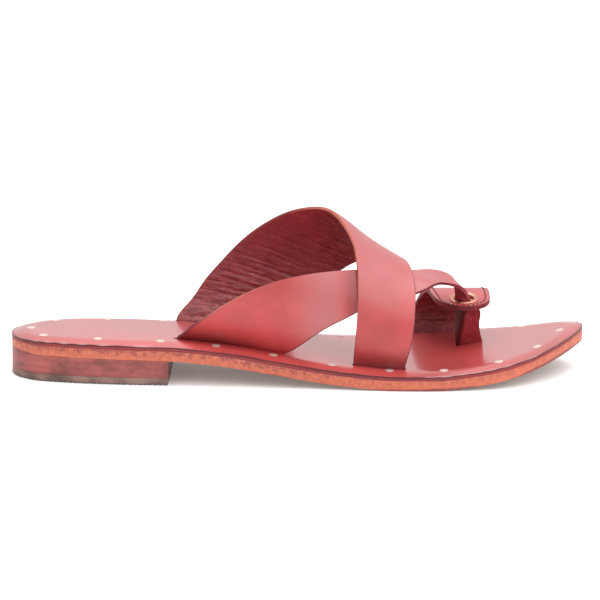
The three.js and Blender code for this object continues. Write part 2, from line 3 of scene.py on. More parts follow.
import bpy
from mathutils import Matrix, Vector


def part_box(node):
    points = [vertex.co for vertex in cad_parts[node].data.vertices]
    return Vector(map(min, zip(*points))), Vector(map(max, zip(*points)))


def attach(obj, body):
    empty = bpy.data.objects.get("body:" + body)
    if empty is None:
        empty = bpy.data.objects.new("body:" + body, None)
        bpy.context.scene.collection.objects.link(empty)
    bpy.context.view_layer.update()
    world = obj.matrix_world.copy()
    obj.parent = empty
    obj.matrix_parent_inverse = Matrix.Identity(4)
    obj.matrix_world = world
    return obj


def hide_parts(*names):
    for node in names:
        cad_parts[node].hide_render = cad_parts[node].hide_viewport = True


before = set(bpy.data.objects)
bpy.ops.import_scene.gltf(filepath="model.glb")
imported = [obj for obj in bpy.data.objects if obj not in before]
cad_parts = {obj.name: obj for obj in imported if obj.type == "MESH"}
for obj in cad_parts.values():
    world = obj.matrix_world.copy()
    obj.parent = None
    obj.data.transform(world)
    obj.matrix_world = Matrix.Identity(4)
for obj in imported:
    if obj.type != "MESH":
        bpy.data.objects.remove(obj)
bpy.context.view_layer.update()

bl_info = {
    "name": "Flat leather sandal",
    "version": (1, 0, 0),
    "blender": (4, 5, 0),
    "location": "View3D > Sidebar > Sandal",
    "description": "Builds a flat crossed-strap leather sandal piece by piece",
    "category": "Add Mesh",
}

MM = 0.001

# The last and the sole, in millimetres; the heel's breast lies a little further on its medial side
BALL_WIDTH = 93
INSTEP_HEIGHT = 78
HEEL_BACK = -31.5
TOE_TIP = 240.4
HEEL_BREAST = (43.5, 44.3)
OUTSOLE = 4.6
INSOLE_EDGE = 1.5
RIM_RISE = 1.7
RIM_WIDTH = 8
SEAT_GAP = 0.3
TOP_LIFT = 3.3
NOTCH_PITCH = 2.4
NOTCH_HEIGHT = 0.55

# Outline of the sole: along in millimetres, then lateral and medial width in shares of the ball width
OUTLINE = (
    (-28.5, 0.115, 0.135), (-20, 0.207, 0.237), (-3, 0.265, 0.304), (20, 0.304, 0.312),
    (45, 0.324, 0.29), (70, 0.346, 0.292), (95, 0.375, 0.33), (117, 0.405, 0.388),
    (140, 0.434, 0.464), (161, 0.447, 0.54), (180, 0.437, 0.56), (197, 0.407, 0.508),
    (212, 0.325, 0.43), (225, 0.197, 0.346), (234, 0.068, 0.264),
)
# How far to the medial side the outline's two ends lie, in the same shares
HEEL_END = 0.01
TOE_END = 0.108

# Underside of the outsole: along, height
ROCKER = (
    (-31, 12.4), (45, 11.4), (60, 10.3), (75, 8.7), (90, 6.4), (105, 4.2), (120, 2.2), (135, 0.8),
    (148, 0), (170, 0), (180, 0.9), (197, 3.1), (213, 6.1), (233, 11.6), (241, 13.7),
)

# Foot form: along, ridge height and widest height in shares of the instep height, then lateral and
# medial width there and at the footbed in shares of the ball width
FOOT_FORM = (
    (30, 1.18, 0.64, 0.27, 0.28, 0.16, 0.215), (60, 1.205, 0.615, 0.3, 0.29, 0.185, 0.215),
    (90, 1.115, 0.565, 0.322, 0.3, 0.215, 0.225), (112, 0.99, 0.487, 0.322, 0.312, 0.245, 0.25),
    (119, 0.955, 0.455, 0.322, 0.322, 0.26, 0.26), (126, 0.896, 0.423, 0.322, 0.333, 0.27, 0.28),
    (137, 0.78, 0.372, 0.328, 0.355, 0.285, 0.333), (146, 0.705, 0.333, 0.333, 0.387, 0.3, 0.387),
    (154, 0.642, 0.308, 0.34, 0.42, 0.315, 0.42), (167, 0.6, 0.282, 0.344, 0.46, 0.315, 0.46),
    (178, 0.55, 0.25, 0.344, 0.48, 0.315, 0.48),
)
# How far to the medial side the ridge lies
RIDGE_ACROSS = 2.5

# Instep strap: side of the form (-2 lateral footbed, 0 ridge, 2 medial footbed), rear edge, front edge
INSTEP_STRAP = (
    (-2, 130.6, 154.5), (-1.5, 131.2, 156.2), (-1.1, 131.8, 157.6), (-0.8, 132, 158.6),
    (-0.5, 131, 159), (-0.28, 128.5, 158.2), (-0.1, 123.5, 156.7), (0.1, 117.5, 154.5),
    (0.3, 109, 150.5), (0.48, 99.7, 143), (0.65, 90, 135), (0.85, 77, 125.6), (1.05, 66.5, 117),
    (1.35, 59.1, 109.4), (1.7, 51.8, 102.6), (2, 45.5, 97.4),
)
# How far its outer face stands off the form
INSTEP_LIFT = 2.8

# Side strap: upper edge along and side of the form, lower edge along and side, lift off the form
SIDE_STRAP = (
    (46.8, -2, 97.3, -2, 1.7), (48.6, -1.94, 99.4, -1.94, 1.7), (52.7, -1.8, 104.5, -1.8, 1.7),
    (60.8, -1.56, 111.3, -1.56, 1.7), (71, -1.28, 119.4, -1.27, 1.7), (83.2, -1, 127.3, -1, 1.65),
    (98.1, -0.87, 135.8, -0.86, 1.35), (113.7, -0.74, 144.2, -0.73, 1.05),
    (128, -0.6, 152, -0.59, 1.02), (143.5, -0.37, 159.2, -0.48, 1.05),
    (157.3, -0.12, 165.4, -0.37, 1.3),
)

# Tail and toe post: far edge, fold and near edge, each as x, y and z
TAIL = (
    (175.6, 11.2, 45.0, 175.9, 7.2, 43.3, 176.4, 3.4, 41.6),
    (178.9, 12.9, 42.3, 180.1, 9.8, 41.0, 181.4, 6.6, 39.8),
    (180.2, 13.8, 38.6, 182.4, 11.5, 37.6, 184.9, 8.9, 36.6),
    (180.6, 14.0, 34.5, 183.2, 11.6, 33.9, 186.4, 9.5, 33.3),
    (181.0, 14.0, 30.5, 184.6, 9.6, 30.5, 187.3, 10.1, 30.5),
    (181.0, 14.0, 27.0, 185.0, 8.8, 27.0, 190.8, 11.8, 27.0),
    (181.0, 13.8, 22.0, 184.0, 9.0, 22.0, 190.5, 12.8, 22.0),
    (181.0, 13.4, 17.0, 182.9, 9.8, 17.0, 190.7, 13.8, 17.0),
    (181.0, 13.2, 12.5, 182.0, 11.5, 12.5, 192.0, 15.4, 12.5),
    (181.1, 13.5, 9.6, 181.9, 13.1, 9.6, 192.9, 16.6, 9.6),
    (181.2, 13.7, 6.2, 182.0, 13.7, 6.2, 193.1, 17.0, 6.2),
)

# Toe strap: row, across, height, rear edge, front edge, skew
TOE_STRAP = (
    (0, 3.4, 30.4, 172.5, 196, 0), (1, 8, 31.25, 171.5, 196.4, 0), (2, 18, 32.95, 169, 196.4, 0),
    (3, 27, 33.9, 167.4, 196, 0), (4, 35, 32.5, 166, 194, 0), (5, 42.5, 28.4, 164, 191, 0.6),
    (6, 47.6, 22.5, 161.7, 188, 1.4), (7, 49.4, 15.5, 159.5, 184, 2.4),
    (8, 48.4, 9, 157.5, 181.5, 3),
)
TOE_STRAP_LAST = TOE_STRAP[-1][0]
# Radius of its rounded end, and how steeply its flap rises to the medial side
TOE_STRAP_CORNER = 11.3
FLAP_SLOPE = 0.19
# Its stitches, and how far up the strap they reach
STITCH_PITCH = 2.5
STITCHES_END = 31
THREAD_RADIUS = 0.3

# How high the ends of the straps are held over the outsole
TUCK = 0.7

# Columns of the two straps' control rows
INSTEP_COLUMNS = 8
SIDE_COLUMNS = 6

# A strap's outer face has its first material, and these are the numbers of the next two
INNER_FACE = 1
CUT_FACE = 2

# Width and length of the straps laid flat, which their wrinkles and creases follow
INSTEP_FLAT = (46, 235)
SIDE_FLAT = (30, 205)
POST_FLAT = (12, 205)
TOE_FLAT = (24, 78)

# Eyelet: its place in the toe strap, its hole, and its section as radius and height
EYELET_PLACE = (183.8, 12.8, 32.15)
EYELET_HOLE = 5
EYELET_PROFILE = (
    (4.5, -2.95), (6.2, -2.95), (6.2, -2.6), (4.75, -2.6), (4.75, 0.12), (6.75, 0.12),
    (6.95, 0.24), (6.9, 0.44), (6.6, 0.58), (6.1, 0.62), (5.55, 0.52), (5.15, 0.28), (4.85, -0.05),
    (4.65, -0.5), (4.5, -1.2), (4.5, -2.95),
)

# Creases of the straps' insides: from the last row's end in millimetres, share across where it starts
# and ends, drift towards that end, depth of the trough (a ridge where negative), half width
INSTEP_CREASES = (
    (6, 0.04, 0.36, -0.6, 0.6, 1.1), (10.5, 0, 0.45, 1.2, -0.25, 1),
    (13.5, 0.06, 0.5, -1.6, 0.3, 0.9), (17, 0.02, 0.42, 1.4, 0.3, 0.9),
    (20, 0.16, 0.6, -2.4, -0.3, 1.1), (22.5, 0.18, 0.62, -2.6, 0.4, 1),
    (25.5, 0, 0.4, 1.6, 0.28, 0.9), (28.5, 0.1, 0.56, 2.2, 0.4, 1.1), (32, 0, 0.36, 1.5, 0.3, 0.9),
    (35, 0.12, 0.72, 4.2, 0.5, 1.2), (37.5, 0.1, 0.6, 4, -0.3, 1), (40, 0, 0.42, 2.4, 0.32, 0.9),
    (43, 0.15, 0.76, 4, 0.45, 1.1), (46.5, 0.05, 0.5, 2.5, 0.32, 0.9),
    (50, 0.2, 0.82, 3.6, 0.35, 1), (54, 0.04, 0.6, 3.4, 0.3, 0.9),
    (58.5, 0.25, 0.86, 3.4, 0.28, 1), (63, 0.08, 0.7, 3.2, 0.25, 0.9), (68, 0.3, 0.8, 3, 0.2, 1),
    (74, 0.15, 0.7, 3, 0.18, 1), (81, 0.2, 0.66, 2.4, 0.15, 1), (69, 0.72, 0.99, 4.6, 0.22, 0.8),
    (72.2, 0.76, 1, 4.8, 0.25, 0.8), (75, 0.7, 0.98, 5, 0.24, 0.8), (78, 0.74, 1, 5, 0.26, 0.8),
    (81, 0.72, 0.99, 4.8, 0.24, 0.8), (84.2, 0.76, 1, 4.6, 0.22, 0.8),
    (87.4, 0.74, 0.98, 4.4, 0.18, 0.8),
)
POST_CREASES = (
    (4, 0.14, 0.72, -4.5, -0.3, 0.5), (3.2, 0.46, 0.8, -4, -0.25, 0.5),
    (11, 0.35, 0.9, 2, 0.25, 0.8),
)
LEG_CREASES = (
    (7.5, 0.02, 0.98, -0.4, 0.4, 0.9), (11, 0.1, 0.8, -0.6, 0.28, 0.8),
    (14, 0, 0.6, 0.5, 0.3, 0.8), (16.8, 0.3, 1, -0.5, 0.3, 0.8), (19.6, 0.05, 0.7, -0.6, 0.3, 0.8),
    (22.5, 0.2, 0.95, 0.6, 0.25, 0.8),
)

# Studio: the point that the camera looks at in millimetres, and the soft lights with their place,
# width and length in metres and their power
AIM = (105.4, -1.5, 34.5)
LIGHT_AIM = (0.105, 0, 0.03)
LIGHTS = (("key", (0.95, -0.9, 1.1), (1.9, 1.5), 19), ("top", (0.15, 0.35, 1.45), (1.9, 1.3), 21))
SURROUNDINGS = 0.85


# Sizes and looks that a user would change

def size_choice(name, description, default):
    """A length in millimetres"""
    return bpy.props.FloatProperty(
        name=name, description=description, default=default * MM, unit="LENGTH")


def colour_choice(name, description, default):
    """A colour as red, green and blue"""
    return bpy.props.FloatVectorProperty(
        name=name, description=description, default=default, subtype="COLOR", min=0, max=1)


class SandalSizes(bpy.types.PropertyGroup):
    strap_thickness: size_choice("Strap thickness", "Thickness of the instep and side straps", 1.7)
    toe_layer: size_choice("Toe strap layer", "Thickness of each of the toe strap's two layers", 1.1)
    edge_round: size_choice("Edge rounding", "Radius of the burnished strap edges", 0.45)
    toe_edge_round: size_choice("Toe strap rounding", "Radius of the toe strap's edges", 0.35)
    stitch_length: size_choice("Stitch length", "Length of one stitch on the toe strap", 1.35)
    stitch_inset: size_choice(
        "Stitch inset", "Distance of the stitches from the toe strap's edge", 2.2)
    nail_head: size_choice("Nail head", "Radius of a nail's domed head", 2.1)


class SandalLooks(bpy.types.PropertyGroup):
    strap: colour_choice("Straps", "Colour of the straps' smooth side", (0.39, 0.034, 0.035))
    # Painted sheen: the lighter colour put on the straps where they catch the light
    strap_sheen: colour_choice(
        "Strap sheen", "Colour of the straps' painted sheen where they catch the light", (0.37, 0.1, 0.102))
    # Darkest dye of the straps, also used as their painted shade low down, beside the instep strap and
    # in the toe post's fold
    strap_dye_and_shade: colour_choice(
        "Shaded straps", "Colour of the straps' darkest dye and of their painted shade", (0.12, 0.006, 0.009))
    flesh: colour_choice("Strap insides", "Colour of the straps' inner side", (0.26, 0.022, 0.028))
    raw_edge: colour_choice(
        "Raw strap edge", "Colour of the straps' undyed cut edges", (0.56, 0.17, 0.12))
    footbed: colour_choice("Footbed", "Colour of the footbed", (0.42, 0.05, 0.048))
    sole_edge: colour_choice("Sole edge", "Colour of the outsole's raw edge", (0.5, 0.115, 0.06))
    burnish: colour_choice("Burnish", "Colour of dark burnished edges", (0.085, 0.014, 0.018))
    heel: colour_choice("Heel", "Colour of the stacked leather heel", (0.29, 0.063, 0.055))
    rubber: colour_choice("Top lift", "Colour of the rubber top lift", (0.19, 0.11, 0.09))
    copper: colour_choice("Eyelet", "Colour of the eyelet", (0.72, 0.31, 0.22))
    nail: colour_choice("Nails", "Colour of the nail heads", (0.66, 0.53, 0.47))


class SandalStage(bpy.types.PropertyGroup):
    distance: bpy.props.FloatProperty(
        name="Camera distance", description="From the camera to the point that it looks at",
        default=1.5, unit="LENGTH")
    elevation: bpy.props.FloatProperty(
        name="Camera elevation", description="Angle of the camera above the floor",
        default=math.radians(12.5), subtype="ANGLE")
    lens: bpy.props.FloatProperty(
        name="Lens", description="Focal length in millimetres on a 36 mm sensor", default=190)
    floor: colour_choice("Floor", "Colour of the floor", (0.86, 0.86, 0.86))


# Curves and places

def interval(xs, at):
    """Which step of a rising list holds a value, and the value kept within the list"""
    last = len(xs) - 1
    x = min(max(at, xs[0]), xs[last])
    i = 0
    while i < last - 1 and x > xs[i + 1]:
        i += 1
    return i, x


def table_curve(rows, column):
    """A smooth curve through one column of a table, read by its first column"""
    xs = [row[0] for row in rows]
    ys = [row[column] for row in rows]
    rises = [(y1 - y0) / (x1 - x0) for x0, x1, y0, y1 in zip(xs, xs[1:], ys, ys[1:])]
    slopes = [rises[0]]
    for before, after in zip(rises, rises[1:]):
        slopes.append(2 * before * after / (before + after) if before * after > 0 else 0)
    slopes.append(rises[-1])

    def read(at):
        i, x = interval(xs, at)
        step = xs[i + 1] - xs[i]
        t = (x - xs[i]) / step
        u = 1 - t
        return (ys[i] * (1 + 2 * t) * u * u + ys[i + 1] * (1 + 2 * u) * t * t
                + step * t * u * (slopes[i] * u - slopes[i + 1] * t))
    return read


def even_curve(rows, column):
    """A curve of even bend through one column of a table, read by its first column"""
    xs = [row[0] for row in rows]
    ys = [row[column] for row in rows]
    last = len(xs) - 1
    steps = [b - a for a, b in zip(xs, xs[1:])]
    rises = [(b - a) / step for a, b, step in zip(ys, ys[1:], steps)]
    pivots, loads = [1.0], [0.0]
    for i in range(1, last):
        weight = steps[i - 1] / pivots[-1] if i > 1 else 0.0
        pivots.append(2 * (steps[i - 1] + steps[i]) - weight * steps[i - 1])
        loads.append(6 * (rises[i] - rises[i - 1]) - weight * loads[-1])
    bends = [0.0] * (last + 1)
    for i in range(last - 1, 0, -1):
        bends[i] = (loads[i] - steps[i] * bends[i + 1]) / pivots[i]

    def read(at):
        i, x = interval(xs, at)
        a, b, step = xs[i + 1] - x, x - xs[i], steps[i]
        return ((bends[i] * a ** 3 + bends[i + 1] * b ** 3) / (6 * step)
                + (ys[i] / step - bends[i] * step / 6) * a
                + (ys[i + 1] / step - bends[i + 1] * step / 6) * b)
    return read


def table_curves(rows):
    """Even curves through all columns of a table but its first"""
    return [even_curve(rows, column) for column in range(1, len(rows[0]))]


def fade(value, start, end):
    """Runs from 0 where a value is at the start to 1 where it is at the end"""
    return min(max((value - start) / (end - start), 0.0), 1.0)


underside = table_curve(ROCKER, 1)
form = table_curves(FOOT_FORM)


def outsole_top(x):
    return underside(x) + OUTSOLE


def footbed(x, inset=RIM_WIDTH):
    """Height of the footbed, which rolls down at less than the rim's width from the outline"""
    roll = fade(inset, RIM_WIDTH, 0)
    return outsole_top(x) + SEAT_GAP + INSOLE_EDGE + RIM_RISE * (1 - roll * roll)


def closed_curve(points, steps):
    """Points of a closed centripetal curve through a list of points"""
    result = []
    count = len(points)
    for i in range(count):
        a, b, c, d = (points[(i + k) % count] for k in (-1, 0, 1, 2))
        ab, bc, cd = ((q - p).length ** 0.5 for p, q in ((a, b), (b, c), (c, d)))
        start = ((b - a) / ab - (c - a) / (ab + bc) + (c - b) / bc) * bc
        end = ((c - b) / bc - (d - b) / (bc + cd) + (d - c) / cd) * bc
        for k in range(steps):
            t = k / steps
            result.append(b * (2 * t ** 3 - 3 * t * t + 1) + start * (t ** 3 - 2 * t * t + t)
                          + c * (3 * t * t - 2 * t ** 3) + end * (t ** 3 - t * t))
    return result


def lengths_along(points):
    """How far along their line each point lies"""
    lengths = [0.0]
    for a, b in zip(points, points[1:]):
        lengths.append(lengths[-1] + (b - a).length)
    return lengths


def walk(points, places):
    """Points at shares of a polyline's length"""
    lengths = lengths_along(points)
    result = []
    i = 1
    for place in places:
        want = place * lengths[-1]
        while i < len(points) - 1 and lengths[i] < want:
            i += 1
        t = (want - lengths[i - 1]) / (lengths[i] - lengths[i - 1])
        result.append(points[i - 1].lerp(points[i], t))
    return result


def sole_sides():
    """The dense outline as two lists, lateral and medial, each from the heel end to the toe end"""
    heel = Vector((HEEL_BACK, HEEL_END * BALL_WIDTH, 0))
    toe = Vector((TOE_TIP, TOE_END * BALL_WIDTH, 0))
    lateral = [Vector((x, -a * BALL_WIDTH, 0)) for x, a, b in OUTLINE]
    medial = [Vector((x, b * BALL_WIDTH, 0)) for x, a, b in reversed(OUTLINE)]
    steps = 40
    dense = closed_curve([heel, *lateral, toe, *medial], steps)
    turn = (len(OUTLINE) + 1) * steps
    return dense[:turn + 1], [dense[0], *reversed(dense[turn:])]


LATERAL, MEDIAL = sole_sides()


def edge_places(steps, crowding):
    """Shares from 0 to 1 that are closer together at both ends"""
    shares = [k / steps for k in range(steps + 1)]
    return [s - crowding * math.sin(2 * math.pi * s) for s in shares]


def form_point(along, side):
    """A point of the foot form, in millimetres"""
    ridge, mid, lateral, medial, lateral_foot, medial_foot = (curve(along) for curve in form)
    wide = -lateral * BALL_WIDTH if side < 0 else medial * BALL_WIDTH
    foot = -lateral_foot * BALL_WIDTH if side < 0 else medial_foot * BALL_WIDTH
    ridge, mid, turn = ridge * INSTEP_HEIGHT, mid * INSTEP_HEIGHT, abs(side)
    if turn <= 1:
        angle = turn * math.pi / 2
        across = RIDGE_ACROSS + (wide - RIDGE_ACROSS) * math.sin(angle)
        return Vector((along, across, mid + (ridge - mid) * math.cos(angle)))
    drop = turn - 1
    return Vector((along, wide + (foot - wide) * drop * drop, mid - (mid - footbed(along)) * drop))


def lifted_point(along, side, lift):
    """A point that stands off the foot form along its normal"""
    ahead = form_point(along + 0.5, side) - form_point(along - 0.5, side)
    across = form_point(along, side + 0.01) - form_point(along, side - 0.01)
    return form_point(along, side) + ahead.cross(across).normalized() * lift


def loft(controls, steps):
    """Rows of points on smooth curves through the columns of some control rows"""
    columns = []
    for line in zip(*controls):
        lengths = lengths_along(line)
        rows = [(length, *point) for length, point in zip(lengths, line)]
        curves = [even_curve(rows, k) for k in (1, 2, 3)]
        columns.append([Vector([curve(lengths[-1] * k / steps) for curve in curves])
                        for k in range(steps + 1)])
    return list(zip(*columns))


# Modelling steps

def pick(*pieces):
    """Selects nothing but these pieces and makes the first one active"""
    bpy.ops.object.select_all(action="DESELECT")
    for piece in pieces:
        piece.select_set(True)
    if pieces:
        bpy.context.view_layer.objects.active = pieces[0]


def start_grid(name, rows, columns, place):
    """A grid whose point at a row and a column is put at place(row, column), in millimetres"""
    pick()
    bpy.ops.mesh.primitive_grid_add(x_subdivisions=columns, y_subdivisions=rows, size=1)
    piece = bpy.context.object
    piece.name = piece.data.name = name
    for vertex in piece.data.vertices:
        row = round((vertex.co.y + 0.5) * rows)
        column = round((vertex.co.x + 0.5) * columns)
        vertex.co = place(row, column) * MM
    return piece


def finish_modifiers(piece):
    pick(piece)
    for modifier in list(piece.modifiers):
        bpy.ops.object.modifier_apply(modifier=modifier.name)


def apply_place(piece):
    """Moves a piece's place and turn into its mesh"""
    pick(piece)
    bpy.ops.object.transform_apply(location=True, rotation=True, scale=True)


def smooth(piece, angle=35):
    pick(piece)
    bpy.ops.object.shade_smooth_by_angle(angle=math.radians(angle))


def rounded(piece, width, segments=3):
    bevel = piece.modifiers.new("rounded edges", "BEVEL")
    bevel.width = width
    bevel.segments = segments
    bevel.limit_method = "ANGLE"
    bevel.angle_limit = math.radians(50)


def make_strap(piece, thickness, edge_round, levels=2):
    """Gives a strip its smooth curve, its wall and its rounded edges"""
    curve = piece.modifiers.new("curve", "SUBSURF")
    curve.levels = curve.render_levels = levels
    curve.boundary_smooth = "PRESERVE_CORNERS"
    wall = piece.modifiers.new("wall", "SOLIDIFY")
    wall.thickness = thickness
    wall.offset = -1
    wall.use_even_offset = True
    wall.material_offset = INNER_FACE
    wall.material_offset_rim = CUT_FACE
    rounded(piece, edge_round)
    finish_modifiers(piece)
    smooth(piece)


def copy_of(model):
    """A copy of a piece with its own mesh"""
    piece = model.copy()
    piece.data = model.data.copy()
    bpy.context.scene.collection.objects.link(piece)
    return piece


def dress(piece, *materials):
    for material in materials:
        piece.data.materials.append(material)


def settle(piece, slot, *nodes):
    """Hands a finished piece to the frame"""
    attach(piece, "root")
    if nodes:
        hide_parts(*nodes)


def paint_value(piece, name, value):
    """Stores a value for each vertex, worked out from its place in millimetres"""
    layer = piece.data.attributes.new(name, "FLOAT", "POINT")
    for vertex, item in zip(piece.data.vertices, layer.data):
        item.value = value(vertex.co / MM)


def press_creases(piece, creases, flat_size):
    """Presses soft troughs and ridges into a strap's inner face"""
    mesh, (width, length) = piece.data, flat_size
    waver, waves = 0.35, 0.9
    corners = mesh.uv_layers.active.data
    places = {}
    for face in mesh.polygons:
        if face.material_index == INNER_FACE:
            for corner in face.loop_indices:
                places[mesh.loops[corner].vertex_index] = corners[corner].uv.copy()
    moves = {}
    for index, uv in places.items():
        across, along = uv.x * width, (1 - uv.y) * length
        depth = 0.0
        for start, low, high, drift, deep, wide in creases:
            share = (uv.x - low) / (high - low)
            if 0 < share < 1:
                line = start - drift * share + waver * math.sin(across * waves + start)
                away = (along - line) / wide
                if abs(away) < 3:
                    depth += deep * math.sin(share * math.pi) ** 0.6 * math.exp(-away * away)
        if depth:
            moves[index] = mesh.vertices[index].normal * (-depth * MM)
    for index, move in moves.items():
        mesh.vertices[index].co += move


def cut_away(piece, cutter):
    """Cuts one piece out of another and removes it"""
    cut = piece.modifiers.new("cut", "BOOLEAN")
    cut.object = cutter
    cut.operation = "DIFFERENCE"
    cut.solver = "EXACT"
    finish_modifiers(piece)
    bpy.data.objects.remove(cutter)


def cut_slot(piece, foot, rising, thickness):
    """Cuts the slot that a strap's foot goes down into, a little longer and wider than the foot"""
    spare, longer, reach = 0.35, 0.6, Vector((0, 0, 4))
    line = [foot[0] + (foot[0] - foot[1]).normalized() * longer, *foot,
            foot[-1] + (foot[-1] - foot[-2]).normalized() * longer]
    ends = (-1, 1) if rising else (1, -1)
    cutter = start_grid("slot_cutter", 1, len(line) - 1,
                        lambda row, column: line[column] + reach * ends[row])
    wall = cutter.modifiers.new("wall", "SOLIDIFY")
    wall.thickness = (thickness + 2 * spare) * MM
    wall.offset = 2 * spare / (thickness + 2 * spare) - 1
    finish_modifiers(cutter)
    cut_away(piece, cutter)


def edge_distance(point):
    """Distance inside the sole's outline in the plan, in millimetres"""
    flat = Vector((point.x, point.y, 0))
    return min(min((p - flat).length for p in side[::4]) for side in (LATERAL, MEDIAL))


# Materials

def tint(colour, amount):
    return tuple(channel * amount for channel in colour)


class Nodes:
    """Makes the shader nodes of one material"""

    def __init__(self, name):
        self.material = bpy.data.materials.new(name)
        self.material.use_nodes = True
        self.tree = self.material.node_tree
        self.shader = self.tree.nodes["Principled BSDF"]

    def add(self, kind, inputs=None, **settings):
        node = self.tree.nodes.new(kind)
        for key, value in settings.items():
            setattr(node, key, value)
        for key, value in (inputs or {}).items():
            self.put(node.inputs[key], value)
        return node

    def put(self, socket, value):
        if isinstance(value, bpy.types.NodeSocket):
            self.tree.links.new(value, socket)
        elif isinstance(value, bpy.types.bpy_struct):
            self.tree.links.new(value.outputs[0], socket)
        elif hasattr(value, "__len__") and len(value) == 3 and len(socket.default_value) == 4:
            socket.default_value = (*value, 1)
        else:
            socket.default_value = value

    def coordinates(self, source="Object"):
        return self.add("ShaderNodeTexCoord").outputs[source]

    def axis(self, source, number):
        """One axis of the object's own places or of its UV map"""
        return self.add("ShaderNodeSeparateXYZ", {0: self.coordinates(source)}).outputs[number]

    def place(self, scale=(1, 1, 1), turn=(0, 0, 0), source="Object"):
        return self.add("ShaderNodeMapping", {
            "Vector": self.coordinates(source), "Scale": scale, "Rotation": turn})

    def noise(self, scale, detail=3, place=None, roughness=0.5, distortion=0):
        return self.add("ShaderNodeTexNoise", {
            "Vector": place or self.place(), "Scale": scale, "Detail": detail,
            "Roughness": roughness, "Distortion": distortion})

    def cells(self, scale):
        return self.add("ShaderNodeTexVoronoi", {"Vector": self.place(), "Scale": scale})

    def value(self, name):
        """A value that paint_value has stored"""
        return self.add("ShaderNodeAttribute", attribute_name=name).outputs["Fac"]

    def ramp(self, value, low, high, out_low=0.0, out_high=1.0):
        return self.add("ShaderNodeMapRange", {
            "Value": value, "From Min": low, "From Max": high, "To Min": out_low, "To Max": out_high},
            interpolation_type="SMOOTHSTEP")

    def uneven(self, scale, detail, low, high):
        """A value that wanders between two limits"""
        return self.ramp(self.noise(scale, detail), 0.3, 0.7, low, high)

    def math(self, how, a, b):
        return self.add("ShaderNodeMath", {0: a, 1: b}, operation=how)

    def plus(self, a, b):
        return self.math("ADD", a, b)

    def times(self, a, b):
        return self.math("MULTIPLY", a, b)

    def blend(self, share, a, b):
        node = self.tree.nodes.new("ShaderNodeMix")
        node.data_type = "RGBA"
        self.put(node.inputs[0], share)
        self.put(node.inputs[6], a)
        self.put(node.inputs[7], b)
        return node.outputs[2]

    def mottled(self, pattern, low, high, colour, first, second):
        """A colour that runs from its first to its second tint over a pattern"""
        return self.blend(self.ramp(pattern, low, high), tint(colour, first), tint(colour, second))

    def relief(self, height, strength, distance, under=None):
        inputs = {"Height": height, "Strength": strength, "Distance": distance}
        if under is not None:
            inputs["Normal"] = under
        return self.add("ShaderNodeBump", inputs)

    def finish(self, **sockets):
        for name, value in sockets.items():
            self.put(self.shader.inputs[name.replace("_", " ")], value)
        return self.material


def grain_leather(looks, name):
    """Smooth dyed and waxed side of a strap, with darker lines beside its edges, painted sheen and
    painted shade
    """
    m = Nodes(name)
    cloudy = m.noise(14, 4, roughness=0.55)
    colour = m.mottled(cloudy, 0.32, 0.7, looks.strap, 0.78, 1.2)
    spots = m.ramp(m.noise(48, 3, roughness=0.6), 0.42, 0.7, 0.0, 0.2)
    colour = m.blend(spots, colour, looks.strap_dye_and_shade)
    # Painted sheen: lighter where a strap's stored value says it catches the light
    pale = m.times(m.value("pale"), m.uneven(22, 3, 0.65, 1.0))
    colour = m.blend(pale, colour, looks.strap_sheen)
    # Painted shade: darker where the stored low value is high
    colour = m.blend(m.ramp(m.value("low"), 0.0, 1.0, 0.0, 0.88), colour, looks.strap_dye_and_shade)
    across, up = m.axis("UV", 0), m.axis("Object", 2)
    rear = m.times(m.ramp(across, 0.005, 0.026, 0.7, 0.0), m.ramp(up, 24 * MM, 34 * MM, 1.0, 0.0))
    front = m.ramp(across, 0.974, 0.995, 0.0, 0.7)
    colour = m.blend(m.math("MAXIMUM", rear, front), colour, looks.strap_dye_and_shade)
    pores = m.plus(m.times(m.noise(900, 2), 0.5), m.times(m.cells(1500), 0.6))
    return m.finish(Base_Color=colour, Roughness=m.ramp(cloudy, 0.25, 0.75, 0.38, 0.48),
                    Normal=m.relief(pores, 0.22, 0.00025), Specular_IOR_Level=0.5,
                    Coat_Weight=0.32, Coat_Roughness=0.36)


def flesh_leather(looks, name, flat_size, gloss=0.45):
    """Creased inner side of a strap, with painted shade in its creases, painted highlights on their
    ridges and painted sheen low down
    """
    m = Nodes(name)
    width, length = flat_size
    coarse = m.place(scale=(width / 7.5, length / 2.8, 1), source="UV")
    creases = m.noise(1, 3, place=coarse, roughness=0.45, distortion=0.5)
    close = m.place(scale=(width / 4.2, length / 1.5, 1), source="UV")
    fine = m.noise(1, 3, place=close, roughness=0.6, distortion=0.6)
    grain = m.noise(900, 3)
    wrinkled = m.ramp(m.value("wrinkled"), 0.0, 1.0, 0.25, 1.0)
    colour = m.mottled(m.noise(30, 3), 0.3, 0.7, looks.flesh, 0.8, 1.25)
    # Painted sheen, lighter low on the inside where the wrinkled value passes 1
    colour = m.blend(m.ramp(m.value("wrinkled"), 1.0, 1.9, 0.0, 0.7), colour, looks.strap_sheen)
    # Painted shade in each crease's trough and a painted highlight on its ridge
    for lines in (creases, fine):
        trough = m.times(m.ramp(lines, 0.34, 0.5, 0.6, 0.0), wrinkled)
        ridge = m.times(m.ramp(lines, 0.5, 0.66, 0.0, 0.42), wrinkled)
        colour = m.blend(trough, colour, tint(looks.flesh, 0.35))
        colour = m.blend(ridge, colour, looks.strap_sheen)
    colour = m.blend(m.ramp(grain, 0.35, 0.65, 0.4, 0.0), colour, tint(looks.flesh, 0.45))
    # Painted shade on the toe post's rear fold
    colour = m.blend(m.times(m.value("fold_shade"), 0.85), colour, tint(looks.strap_dye_and_shade, 0.5))
    bump = m.relief(m.times(creases, wrinkled), 0.4, 0.0008)
    bump = m.relief(m.times(fine, wrinkled), 0.6, 0.0006, bump)
    bump = m.relief(grain, 0.35, 0.0003, bump)
    return m.finish(Base_Color=colour, Roughness=0.45, Normal=bump, Specular_IOR_Level=gloss)


